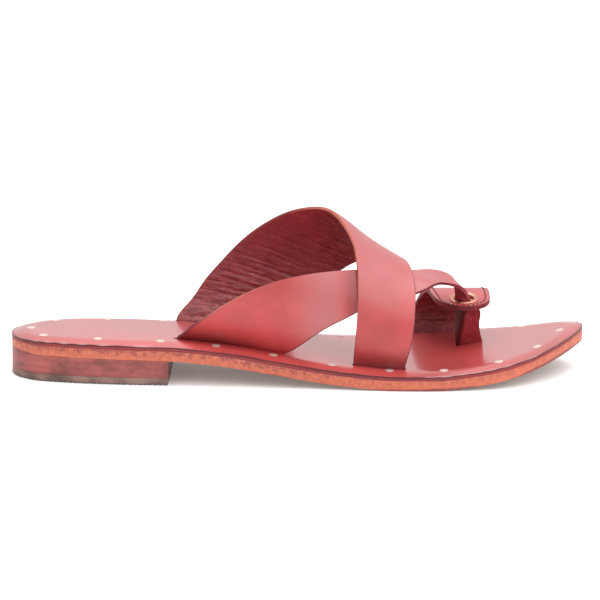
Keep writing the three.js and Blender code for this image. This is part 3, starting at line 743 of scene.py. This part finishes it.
def cut_edge(looks, name, raw=False):
    """Burnished cut edge; a raw one is undyed high up at its rear, over the foot's outer side"""
    m = Nodes(name)
    patches = m.noise(120, 3)
    colour = m.mottled(patches, 0.35, 0.65, looks.burnish, 1.5, 2.8)
    if raw:
        rear = m.ramp(m.axis("UV", 0), 0.3, 0.7, 1.0, 0.0)
        outer = m.ramp(m.axis("Object", 1), 10 * MM, 24 * MM, 1.0, 0.0)
        high = m.ramp(m.axis("Object", 2), 26 * MM, 40 * MM, 0.0, 0.8)
        undyed = m.mottled(patches, 0.35, 0.65, looks.raw_edge, 1, 0.75)
        colour = m.blend(m.times(m.times(rear, outer), high), colour, undyed)
    # Painted shade on the toe post's rear fold
    colour = m.blend(m.times(m.value("fold_shade"), 0.85), colour, tint(looks.burnish, 0.6))
    bump = m.relief(m.noise(1800, 2), 0.25, 0.0003)
    return m.finish(Base_Color=colour, Roughness=0.55, Normal=bump, Specular_IOR_Level=0.12)


def footbed_leather(looks):
    """Glossy footbed with a dark burnished rim line and painted shade on its rolled rim"""
    m = Nodes("Footbed leather")
    cloudy = m.noise(11, 3)
    colour = m.mottled(cloudy, 0.3, 0.7, looks.footbed, 0.82, 1.2)
    inside = m.value("inside")
    # Painted shade on the rolled rim, up to 5 mm in from the edge
    colour = m.blend(m.ramp(inside, 0.5, 5.0, 0.2, 0.0), colour, tint(looks.footbed, 0.5))
    rim = m.plus(inside, m.uneven(160, 3, -0.12, 0.12))
    colour = m.blend(m.ramp(rim, 0.3, 1.0, 0.85, 0.0), colour, tint(looks.burnish, 1.5))
    pores = m.plus(m.noise(700, 2), m.times(m.cells(1200), 0.5))
    return m.finish(Base_Color=colour, Roughness=m.ramp(cloudy, 0.25, 0.75, 0.3, 0.42),
                    Normal=m.relief(pores, 0.15, 0.0002), Coat_Weight=1.0, Coat_Roughness=0.16)


def insole_side(looks):
    """Dark insole edge with worn patches"""
    m = Nodes("Insole edge")
    patches = m.plus(m.noise(170, 4, roughness=0.7), m.ramp(m.noise(14, 2), 0.35, 0.65, -0.1, 0.1))
    colour = m.blend(m.ramp(patches, 0.35, 0.65), tint(looks.burnish, 2.0), tint(looks.footbed, 0.6))
    height = m.plus(m.value("rise"), m.uneven(90, 3, -0.1, 0.1))
    colour = m.blend(m.ramp(height, 0.55, 0.8, 0.0, 0.9), colour, tint(looks.burnish, 0.8))
    colour = m.blend(m.ramp(height, 0.02, 0.2, 0.6, 0.0), colour, tint(looks.burnish, 1.2))
    bump = m.relief(m.noise(1500, 2), 0.3, 0.0003)
    return m.finish(Base_Color=colour, Roughness=0.5, Normal=bump, Specular_IOR_Level=0.3)


def sole_edge(looks):
    """Raw fibrous outsole edge with uneven burnish at its top and bottom"""
    m = Nodes("Outsole edge")
    fibres = m.noise(420, 5, place=m.place(scale=(1, 1, 1.6)), roughness=0.7)
    speckle = m.noise(1600, 2)
    colour = m.mottled(fibres, 0.35, 0.68, looks.sole_edge, 0.86, 1.1)
    colour = m.blend(m.ramp(speckle, 0.55, 0.72, 0.0, 0.28), colour, (0.85, 0.36, 0.22))
    rise = m.value("rise")
    specks = m.ramp(m.noise(430, 4, roughness=0.75), 0.36, 0.64, -0.45, 0.45)
    top = m.ramp(m.plus(m.plus(rise, specks), m.uneven(14, 2, -0.15, 0.15)), 0.68, 1.05)
    bottom = m.ramp(m.plus(rise, m.uneven(22, 4, -0.22, 0.3)), 0.0, 0.16, 1.0, 0.0)
    share = m.ramp(m.axis("Object", 0), 90 * MM, 160 * MM, 0.68, 0.35)
    colour = m.blend(m.times(top, share), colour, tint(looks.burnish, 2.3))
    colour = m.blend(m.times(bottom, 0.75), colour, tint(looks.burnish, 1.5))
    bump = m.relief(m.plus(fibres, speckle), 0.25, 0.0003)
    return m.finish(Base_Color=colour, Roughness=0.55, Normal=bump)


def sole_underside():
    """Scuffed undyed tread"""
    m = Nodes("Outsole tread leather")
    scuffs = m.noise(60, 5, place=m.place(scale=(0.4, 1, 1)))
    colour = m.blend(m.ramp(scuffs, 0.35, 0.65), (0.2, 0.1, 0.06), (0.36, 0.2, 0.12))
    bump = m.relief(m.noise(900, 3), 0.3, 0.0003)
    return m.finish(Base_Color=colour, Roughness=0.7, Normal=bump)


def heel_leather(looks):
    """Stacked leather with faint bands"""
    m = Nodes("Heel leather")
    mottle = m.noise(75, 5, place=m.place(scale=(1, 1, 1.8)), roughness=0.65)
    bands = m.noise(420, 2, place=m.place(scale=(0.03, 0.03, 1)))
    colour = m.mottled(mottle, 0.32, 0.68, looks.heel, 0.55, 1.25)
    colour = m.blend(m.ramp(bands, 0.4, 0.6, 0.35, 0.0), colour, tint(looks.heel, 0.5))
    bump = m.relief(m.plus(bands, m.noise(1100, 3)), 0.4, 0.0004)
    return m.finish(Base_Color=colour, Roughness=0.5, Normal=bump)


def lift_rubber(looks):
    """Dull rubber, darker towards the floor"""
    m = Nodes("Top lift rubber")
    colour = m.mottled(m.noise(80, 4), 0.35, 0.65, looks.rubber, 0.6, 1.35)
    # Darker towards the floor
    bottom_darkening = m.ramp(m.value("rise"), 0.05, 0.3, 0.6, 0.0)
    colour = m.blend(bottom_darkening, colour, (0.04, 0.022, 0.02))
    bump = m.relief(m.noise(1300, 3), 0.35, 0.0003)
    return m.finish(Base_Color=colour, Roughness=0.7, Normal=bump)


def metal(name, colour, roughness, share=1.0):
    """Worn metal; share is how metallic it is"""
    m = Nodes(name)
    worn = m.noise(180, 3)
    shade = m.blend(m.ramp(worn, 0.35, 0.65, 0.0, 0.4), colour, tint(colour, 0.55))
    rough = m.ramp(worn, 0.3, 0.7, roughness, roughness + 0.15)
    return m.finish(Base_Color=shade, Metallic=share, Roughness=rough)


def thread():
    """Dark twisted thread"""
    m = Nodes("Stitching thread")
    twist = m.add("ShaderNodeTexWave", {"Vector": m.place(turn=(0, 0, 0.7)), "Scale": 900},
                  wave_type="BANDS").outputs[1]
    colour = m.blend(twist, (0.05, 0.012, 0.014), (0.11, 0.03, 0.03))
    return m.finish(Base_Color=colour, Roughness=0.7, Normal=m.relief(twist, 0.4, 0.0002))


# Pieces

def sheet(name, lateral, medial, across, top, bottom, edge_round):
    """A sheet between two rows of edge points, extruded down to a lower surface and rounded

    across holds the shares at which points lie between the two rows, top gives the height over a
    point and bottom gives the height at a place along, all in millimetres.
    """
    def place(row, column):
        point = lateral[row].lerp(medial[row], across[column])
        point.z = top(point)
        return point
    piece = start_grid(name, len(lateral) - 1, len(across) - 1, place)
    bpy.ops.object.mode_set(mode="EDIT")
    bpy.ops.mesh.select_all(action="SELECT")
    bpy.ops.mesh.remove_doubles(threshold=0.02 * MM)
    bpy.ops.mesh.extrude_region_move(TRANSFORM_OT_translate={"value": (0, 0, -MM)})
    bpy.ops.object.mode_set(mode="OBJECT")
    for vertex in piece.data.vertices:
        if vertex.select:
            vertex.co.z = bottom(vertex.co.x / MM) * MM
    bpy.ops.object.mode_set(mode="EDIT")
    bpy.ops.mesh.select_all(action="SELECT")
    bpy.ops.mesh.normals_make_consistent(inside=False)
    bpy.ops.object.mode_set(mode="OBJECT")
    rounded(piece, edge_round * MM)
    finish_modifiers(piece)
    smooth(piece)
    return piece


def sole_sheet(name, top, bottom, steps, columns, edge_round):
    """A leather sheet of the sole's whole outline"""
    places = edge_places(steps, 0.09)
    return sheet(name, walk(LATERAL, places), walk(MEDIAL, places), edge_places(columns, 0.07),
                 top, bottom, edge_round)


def heel_sheet(name, top, bottom, steps, edge_round):
    """A piece of the heel behind its breast"""
    def behind(side, breast, spare=0.2):
        ahead = next(i for i, point in enumerate(side) if point.x >= breast - spare)
        return walk(side[:ahead + 1], edge_places(steps, 0.06))
    lateral, medial = behind(LATERAL, HEEL_BREAST[0]), behind(MEDIAL, HEEL_BREAST[1])
    even = edge_places(8, crowding=0)
    return sheet(name, lateral, medial, even, top, bottom, edge_round)


def by_direction(piece, top, side, bottom):
    """Gives faces that look up, sideways and down their own materials"""
    dress(piece, top, side, bottom)
    steep = 0.75
    for face in piece.data.polygons:
        if face.normal.z > steep:
            face.material_index = 0
        elif face.normal.z < -steep:
            face.material_index = 2
        else:
            face.material_index = 1


def notch(piece):
    """Presses small notches into the lower edge of the top lift"""
    reach = 0.6
    full = 0.625
    marks = [(point, length) for side in (LATERAL, MEDIAL)
             for point, length in zip(side, lengths_along(side)) if point.x <= max(HEEL_BREAST)]
    for vertex in piece.data.vertices:
        point = vertex.co / MM
        if point.z > reach:
            continue
        flat = Vector((point.x, point.y, 0))
        mark, length = min(marks, key=lambda item: (item[0] - flat).length_squared)
        if (mark - flat).length < reach:
            wave = math.sin(2 * math.pi * length / NOTCH_PITCH)
            vertex.co.z += NOTCH_HEIGHT * fade(wave, 0, full) * MM


class SANDAL_OT_top_lift(bpy.types.Operator):
    """Rubber top lift with a notched lower edge"""
    bl_idname = "sandal.top_lift"
    bl_label = "Top lift"

    def execute(self, context):
        piece = heel_sheet("top_lift_rubber", top=lambda p: TOP_LIFT, bottom=lambda x: 0.0,
                           steps=220, edge_round=0.2)
        notch(piece)
        dress(piece, lift_rubber(context.scene.sandal_looks))
        paint_value(piece, "rise", lambda p: p.z / TOP_LIFT)
        settle(piece, "heel_rubber", "top_lift")
        return {"FINISHED"}


class SANDAL_OT_heel_block(bpy.types.Operator):
    """Stacked leather heel"""
    bl_idname = "sandal.heel_block"
    bl_label = "Heel block"

    def execute(self, context):
        gap = SEAT_GAP / 3
        piece = heel_sheet("heel_stack", top=lambda p: underside(p.x) - gap,
                           bottom=lambda x: TOP_LIFT + gap, steps=90, edge_round=0.25)
        dress(piece, heel_leather(context.scene.sandal_looks))
        settle(piece, "heel_leather", "heel_block")
        return {"FINISHED"}


class SANDAL_OT_outsole(bpy.types.Operator):
    """Leather outsole with a raw edge"""
    bl_idname = "sandal.outsole"
    bl_label = "Outsole"

    def execute(self, context):
        piece = sole_sheet("outsole_leather", top=lambda p: outsole_top(p.x) + SEAT_GAP / 2,
                           bottom=underside, steps=150, columns=12, edge_round=0.45)
        edge = sole_edge(context.scene.sandal_looks)
        by_direction(piece, edge, edge, sole_underside())
        paint_value(piece, "rise", lambda p: (p.z - underside(p.x)) / OUTSOLE)
        settle(piece, "sole_edge_leather", "outsole")
        return {"FINISHED"}


class SANDAL_OT_insole(bpy.types.Operator):
    """Footbed with its rolled rim and the slots for the straps"""
    bl_idname = "sandal.insole"
    bl_label = "Insole"

    def execute(self, context):
        sizes, looks = context.scene.sandal_sizes, context.scene.sandal_looks
        piece = sole_sheet("footbed", top=lambda p: footbed(p.x, edge_distance(p)),
                           bottom=lambda x: outsole_top(x) + SEAT_GAP / 2,
                           steps=170, columns=40, edge_round=0.35)
        instep, side = instep_rows(INSTEP_COLUMNS), side_rows(SIDE_COLUMNS)
        surface = toe_strap_surface()
        leg = tucked([surface(TOE_STRAP_LAST, c / 6) for c in range(7)])
        for strap in (instep, side):
            for foot, rising in ((strap[0], True), (strap[-1], False)):
                cut_slot(piece, foot, rising, sizes.strap_thickness / MM)
        cut_slot(piece, leg, False, 2 * sizes.toe_layer / MM)
        smooth(piece)
        edge = insole_side(looks)
        by_direction(piece, footbed_leather(looks), edge, edge)
        paint_value(piece, "inside", edge_distance)
        paint_value(piece, "rise", lambda p: (p.z - outsole_top(p.x) - SEAT_GAP) / INSOLE_EDGE)
        settle(piece, "footbed_leather", "insole")
        return {"FINISHED"}


def tucked(row):
    """Where the end of a strap is held under the footbed"""
    return [Vector((point.x, point.y, outsole_top(point.x) + TUCK)) for point in row]


def instep_rows(columns):
    """Control rows of the instep strap, from its outer foot to its inner foot"""
    controls = []
    for side, rear, front in INSTEP_STRAP:
        places = (rear + (front - rear) * c / columns for c in range(columns + 1))
        controls.append([lifted_point(along, side, INSTEP_LIFT) for along in places])
    return [tucked(controls[0]), *controls, tucked(controls[-1])]


def side_rows(columns):
    """Control rows of the side strap, from its outer foot to the foot of the toe post"""
    controls = []
    for upper, upper_side, lower, lower_side, lift in SIDE_STRAP:
        shares = (c / columns for c in range(columns + 1))
        controls.append([lifted_point(upper + (lower - upper) * t,
                                      upper_side + (lower_side - upper_side) * t, lift)
                         for t in shares])
    controls.insert(0, tucked(controls[0]))
    fold = columns // 3
    for row in TAIL:
        far, bend, near = (Vector(row[k:k + 3]) for k in (0, 3, 6))
        controls.append([far.lerp(bend, c / fold) for c in range(fold)]
                        + [bend.lerp(near, c / (columns - fold)) for c in range(columns - fold + 1)])
    return controls


def upper_strap(context, name, title, controls, steps, flat_size, gloss):
    """A single-layer strap lofted through control rows, with its three leathers"""
    sizes, looks = context.scene.sandal_sizes, context.scene.sandal_looks
    rows = loft(controls, steps)
    piece = start_grid(name, steps, len(controls[0]) - 1, lambda row, column: rows[row][column])
    dress(piece, grain_leather(looks, title + " leather"),
          flesh_leather(looks, title + " inside", flat_size, gloss),
          cut_edge(looks, title + " edge", raw=True))
    make_strap(piece, sizes.strap_thickness, sizes.edge_round)
    return piece


def instep_shade(point):
    """Painted shade low at the outer foot"""
    return fade(point.z, 18, 7) if point.y < 0 else 0.0


def instep_wrinkles(point):
    """Where the inside is creased most: low at the rear and along the front edge; where the value
    passes 1, low down, the inside also gets painted sheen
    """
    return max(fade(point.z, 56, 32) + fade(point.z, 36, 20), fade(point.x, 110, 122))


class SANDAL_OT_instep_strap(bpy.types.Operator):
    """Wide strap over the instep"""
    bl_idname = "sandal.instep_strap"
    bl_label = "Instep strap"

    def execute(self, context):
        piece = upper_strap(context, "instep_strap", "Instep strap", instep_rows(INSTEP_COLUMNS),
                            steps=100, flat_size=INSTEP_FLAT, gloss=0.45)
        press_creases(piece, INSTEP_CREASES, INSTEP_FLAT)
        # Painted shade low at the outer foot
        paint_value(piece, "low", instep_shade)
        # Painted sheen, growing towards the top of the strap
        paint_value(piece, "pale", lambda p: fade(p.z, 30, 60))
        paint_value(piece, "wrinkled", instep_wrinkles)
        settle(piece, "strap_leather", "upper")
        return {"FINISHED"}


def side_shade(point):
    """Painted shade low on the side strap, and painted shadow where the instep strap lies on it"""
    if point.x >= 140:
        return 0.0
    foot = fade(point.z - footbed(point.x), 10, 0) * (1 - 0.6 * fade(point.x, 68, 92))
    return max(foot, 0.6 * fade(point.x, 122, 129) ** 1.5)


def side_sheen(point):
    """Painted sheen where the side strap bends beside the instep strap, and from there to its tail"""
    return fade(point.x, 98, 116) * fade(point.x, 129, 121) + fade(point.x, 130, 140)


def post_fold_shade(point):
    """Painted shade on the toe post's rear fold, which faces away from the light"""
    sole, fold, lean = 9, 182.2, 0.14
    if point.x < 150 or point.z > 31:
        return 0.0
    return fade(point.x - (point.z - sole) * lean, fold, fold - 0.8)


class SANDAL_OT_side_strap(bpy.types.Operator):
    """Side strap with its tail through the eyelet and the toe post"""
    bl_idname = "sandal.side_strap"
    bl_label = "Side strap and toe post"

    def execute(self, context):
        piece = upper_strap(context, "side_strap", "Side strap", side_rows(SIDE_COLUMNS),
                            steps=96, flat_size=SIDE_FLAT, gloss=0.15)
        press_creases(piece, POST_CREASES, POST_FLAT)
        # Painted shade low down and painted shadow beside the instep strap
        paint_value(piece, "low", side_shade)
        # Painted sheen beside the instep strap and along the tail
        paint_value(piece, "pale", side_sheen)
        paint_value(piece, "wrinkled", lambda p: 0.2)
        # Painted shade on the toe post's rear fold
        paint_value(piece, "fold_shade", post_fold_shade)
        settle(piece, "strap_leather", "upper")
        return {"FINISHED"}


def toe_strap_surface():
    """Gives a point of the toe strap's outer surface at a row and a share from rear to front"""
    across, height, rear, front, skew = table_curves(TOE_STRAP)

    def place(at, share):
        left = max(0.0, TOE_STRAP_CORNER - (across(at) - TOE_STRAP[0][1]))
        cut = TOE_STRAP_CORNER - math.sqrt(TOE_STRAP_CORNER ** 2 - left ** 2)
        low, high = rear(at) + cut, front(at) - cut
        return Vector((low + (high - low) * share, across(at) - (1 - share) * skew(at), height(at)))
    return place


class SANDAL_OT_toe_strap(bpy.types.Operator):
    """Two-layer toe strap with its rounded end, eyelet hole and stitches"""
    bl_idname = "sandal.toe_strap"
    bl_label = "Toe strap"

    def execute(self, context):
        sizes, looks = context.scene.sandal_sizes, context.scene.sandal_looks
        surface = toe_strap_surface()
        round_end = (0.004, 0.04, 0.11, 0.22, 0.37, 0.57, 0.8)
        places = [*round_end, *(1 + (TOE_STRAP_LAST - 1) * k / 26 for k in range(27))]
        rows, columns = len(places), 10

        def place(row, column):
            if row == rows:
                return tucked([surface(TOE_STRAP_LAST, column / columns)])[0]
            return surface(places[row], column / columns)
        edge = cut_edge(looks, "Toe strap edge")
        lining = flesh_leather(looks, "Toe strap lining", TOE_FLAT)
        leather = grain_leather(looks, "Toe strap leather")
        layers = (("toe_strap_outer", 0.0, leather), ("toe_strap_lining", 1.25, lining))
        for name, down, face in layers:
            piece = start_grid(name, rows, columns, place)
            dress(piece, face, lining, edge)
            shift_inwards(piece, down * MM)
            make_strap(piece, sizes.toe_layer, sizes.toe_edge_round)
            if face == lining:
                press_creases(piece, LEG_CREASES, TOE_FLAT)
            bore_eyelet_hole(piece)
            smooth(piece)
            # Painted shade on the lateral part of the toe strap and painted sheen on its medial part
            paint_value(piece, "low", lambda p: 0.5 * fade(p.y, 18, 2))
            paint_value(piece, "pale", lambda p: 0.8 * fade(p.y, 8, 24))
            paint_value(piece, "wrinkled", lambda p: 0.5)
            settle(piece, "strap_leather", "toe_strap")
        stitches = sew(sizes)
        dress(stitches, thread())
        settle(stitches, "strap_leather")
        return {"FINISHED"}


def stitch_line(inset):
    """The line of stitches up one side of the toe strap, round its end and down the other side"""
    across, height, rear, front = table_curves(TOE_STRAP)[:4]

    def row_at(y):
        at = 0.0
        while across(at) < y:
            at += 0.02
        return at
    centre = TOE_STRAP[0][1] + TOE_STRAP_CORNER
    turn_row = row_at(centre)
    middle = (rear(turn_row) + front(turn_row)) / 2
    radius = (front(turn_row) - rear(turn_row)) / 2 - inset
    steps = 12
    straight = [centre + (STITCHES_END - centre) * k / steps for k in range(steps, 0, -1)]
    angles = [math.pi * k / (2 * steps) for k in range(2 * steps + 1)]
    line = [(rear(row_at(y)) + inset, y) for y in straight]
    line += [(middle - radius * math.cos(angle), centre - radius * math.sin(angle)) for angle in angles]
    line += [(front(row_at(y)) - inset, y) for y in reversed(straight)]
    return [Vector((x, y, height(row_at(y)))) for x, y in line]


def sew(sizes):
    """Stitches along the toe strap's outline, joined to one piece"""
    line = stitch_line(sizes.stitch_inset / MM)
    count = round(lengths_along(line)[-1] / STITCH_PITCH)
    ends = walk(line, [k / count for k in range(count + 1)])
    lift = Vector((0, 0, 0.12))
    pick()
    bpy.ops.mesh.primitive_cylinder_add(
        vertices=8, radius=THREAD_RADIUS * MM, depth=sizes.stitch_length)
    model = bpy.context.object
    rounded(model, THREAD_RADIUS * 2 / 3 * MM, 2)
    finish_modifiers(model)
    smooth(model)
    stitches = []
    for a, b in zip(ends, ends[1:]):
        stitch = copy_of(model)
        stitch.rotation_euler = (b - a).to_track_quat("Z", "Y").to_euler()
        stitch.location = ((a + b) / 2 + lift) * MM
        stitches.append(stitch)
    bpy.data.objects.remove(model)
    pick(*stitches)
    bpy.ops.object.join()
    apply_place(stitches[0])
    stitches[0].name = stitches[0].data.name = "toe_strap_stitches"
    return stitches[0]


def shift_inwards(piece, distance):
    """Moves a strip back along its own normals"""
    normals = [vertex.normal.copy() for vertex in piece.data.vertices]
    for vertex, normal in zip(piece.data.vertices, normals):
        vertex.co -= normal * distance


def bore_eyelet_hole(piece):
    """Cuts the eyelet's hole through a layer"""
    pick()
    bpy.ops.mesh.primitive_cylinder_add(
        vertices=64, radius=EYELET_HOLE * MM, depth=12 * MM, location=Vector(EYELET_PLACE) * MM,
        rotation=(math.atan(FLAP_SLOPE), 0, 0))
    cut_away(piece, bpy.context.object)


def turned(name, profile, steps, place=(0, 0, 0), tilt=0):
    """A shape turned round an axis: a circle is extruded and resized along radii and heights"""
    pick()
    radius, height = profile[0]
    bpy.ops.mesh.primitive_circle_add(vertices=steps, radius=radius * MM, location=(0, 0, height * MM))
    piece = bpy.context.object
    piece.name = piece.data.name = name
    apply_place(piece)
    bpy.ops.object.mode_set(mode="EDIT")
    bpy.ops.mesh.select_all(action="SELECT")
    for (r0, h0), (r1, h1) in zip(profile, profile[1:]):
        bpy.ops.mesh.extrude_region_move(TRANSFORM_OT_translate={"value": (0, 0, (h1 - h0) * MM)})
        bpy.ops.transform.resize(value=(r1 / r0, r1 / r0, 1), center_override=(0, 0, h1 * MM))
    bpy.ops.mesh.select_all(action="SELECT")
    bpy.ops.mesh.remove_doubles(threshold=0.02 * MM)
    bpy.ops.mesh.normals_make_consistent(inside=False)
    bpy.ops.object.mode_set(mode="OBJECT")
    piece.rotation_euler.x = tilt
    piece.location = Vector(place) * MM
    apply_place(piece)
    smooth(piece, 50)
    return piece


class SANDAL_OT_eyelet(bpy.types.Operator):
    """Rolled metal eyelet"""
    bl_idname = "sandal.eyelet"
    bl_label = "Eyelet"

    def execute(self, context):
        piece = turned("eyelet_ring", EYELET_PROFILE, 64, EYELET_PLACE, math.atan(FLAP_SLOPE))
        copper = context.scene.sandal_looks.copper
        dress(piece, metal("Copper plating", copper, roughness=0.22))
        settle(piece, "copper", "eyelet")
        return {"FINISHED"}


class SANDAL_OT_nails(bpy.types.Operator):
    """Domed nail heads that follow the slope of the rim"""
    bl_idname = "sandal.nails"
    bl_label = "Nails"

    def execute(self, context):
        head = context.scene.sandal_sizes.nail_head / MM
        profile = ((0.8, -1.5), (0.8, -0.3), (head * 0.98, -0.3), (head, -0.06), (head * 0.92, 0.06),
                   (head * 0.7, 0.13), (head * 0.4, 0.17), (0.05, 0.19))
        nail_colour = context.scene.sandal_looks.nail
        steel = metal("Nail steel", nail_colour, roughness=0.45, share=0.5)
        model = turned("nail_model", profile, 20)
        lift = 0.06

        def rim(x, y):
            return footbed(x, edge_distance(Vector((x, y, 0))))
        for node in sorted(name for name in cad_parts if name.startswith("nail_")):
            low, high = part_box(node)
            x, y = (low.x + high.x) / 2 / MM, (low.y + high.y) / 2 / MM
            along, across = rim(x - 1, y) - rim(x + 1, y), rim(x, y - 1) - rim(x, y + 1)
            upright = Vector((along / 2, across / 2, 1))
            nail = copy_of(model)
            nail.name = nail.data.name = node.replace("nail", "nail_head")
            nail.rotation_euler = upright.to_track_quat("Z", "Y").to_euler()
            nail.location = Vector((x, y, rim(x, y) + lift)) * MM
            apply_place(nail)
            dress(nail, steel)
            settle(nail, "nail_steel", node)
        bpy.data.objects.remove(model)
        return {"FINISHED"}


# Stage

def soft_light(name, place, size, power):
    """A rectangular light that shines at the sandal"""
    data = bpy.data.lights.new(name, "AREA")
    data.shape = "RECTANGLE"
    data.size, data.size_y = size
    data.energy = power
    light = bpy.data.objects.new(name, data)
    bpy.context.scene.collection.objects.link(light)
    light.location = place
    light.rotation_euler = (Vector(LIGHT_AIM) - Vector(place)).to_track_quat("-Z", "Y").to_euler()


def floor_paint(stage):
    """Pale matt floor with a faint glow of its own that lightens the shadows on it"""
    # Painted light: the floor's faint glow lightens the shadows on it
    return Nodes("Pale floor").finish(
        Base_Color=stage.floor, Roughness=0.9, Specular_IOR_Level=0.1,
        Emission_Color=(1, 0.97, 0.97), Emission_Strength=0.12)


class SANDAL_OT_stage(bpy.types.Operator):
    """Floor, soft studio light and the camera"""
    bl_idname = "sandal.stage"
    bl_label = "Stage"

    def execute(self, context):
        stage = context.scene.sandal_stage
        pick()
        bpy.ops.mesh.primitive_plane_add(size=16, location=(0, 0, -0.0002))
        floor = bpy.context.object
        floor.name = "floor"
        dress(floor, floor_paint(stage))
        world = bpy.data.worlds.new("Studio")
        world.use_nodes = True
        background = world.node_tree.nodes["Background"].inputs
        background["Color"].default_value = (1, 1, 1, 1)
        background["Strength"].default_value = SURROUNDINGS
        context.scene.world = world
        for light in LIGHTS:
            soft_light(*light)
        data = bpy.data.cameras.new("camera")
        data.lens = stage.lens
        data.sensor_width = 36
        data.clip_start, data.clip_end = 0.01, 100
        camera = bpy.data.objects.new("camera", data)
        context.scene.collection.objects.link(camera)
        back = Vector((0, -math.cos(stage.elevation), math.sin(stage.elevation)))
        camera.location = Vector(AIM) * MM + back * stage.distance
        camera.rotation_euler = (-back).to_track_quat("-Z", "Y").to_euler()
        context.scene.camera = camera
        context.scene.view_settings.view_transform = "Standard"
        return {"FINISHED"}


class SANDAL_PT_panel(bpy.types.Panel):
    bl_idname = "SANDAL_PT_panel"
    bl_label = "Sandal"
    bl_space_type = "VIEW_3D"
    bl_region_type = "UI"
    bl_category = "Sandal"

    def draw(self, context):
        for place, group in GROUPS:
            for name in group.__annotations__:
                self.layout.prop(getattr(context.scene, place), name)
        for operator in OPERATORS:
            self.layout.operator(operator.bl_idname)


OPERATORS = (
    SANDAL_OT_top_lift, SANDAL_OT_heel_block, SANDAL_OT_outsole, SANDAL_OT_insole,
    SANDAL_OT_instep_strap, SANDAL_OT_side_strap, SANDAL_OT_toe_strap, SANDAL_OT_eyelet,
    SANDAL_OT_nails, SANDAL_OT_stage,
)
GROUPS = (("sandal_sizes", SandalSizes), ("sandal_looks", SandalLooks), ("sandal_stage", SandalStage))


def register():
    for name, group in GROUPS:
        bpy.utils.register_class(group)
        setattr(bpy.types.Scene, name, bpy.props.PointerProperty(type=group))
    for operator in OPERATORS:
        bpy.utils.register_class(operator)
    bpy.utils.register_class(SANDAL_PT_panel)


def unregister():
    bpy.utils.unregister_class(SANDAL_PT_panel)
    for operator in reversed(OPERATORS):
        bpy.utils.unregister_class(operator)
    for name, group in reversed(GROUPS):
        delattr(bpy.types.Scene, name)
        bpy.utils.unregister_class(group)


def main():
    register()
    for operator in OPERATORS:
        group, name = operator.bl_idname.split(".")
        getattr(getattr(bpy.ops, group), name)()


if __name__ == "__main__":
    main()
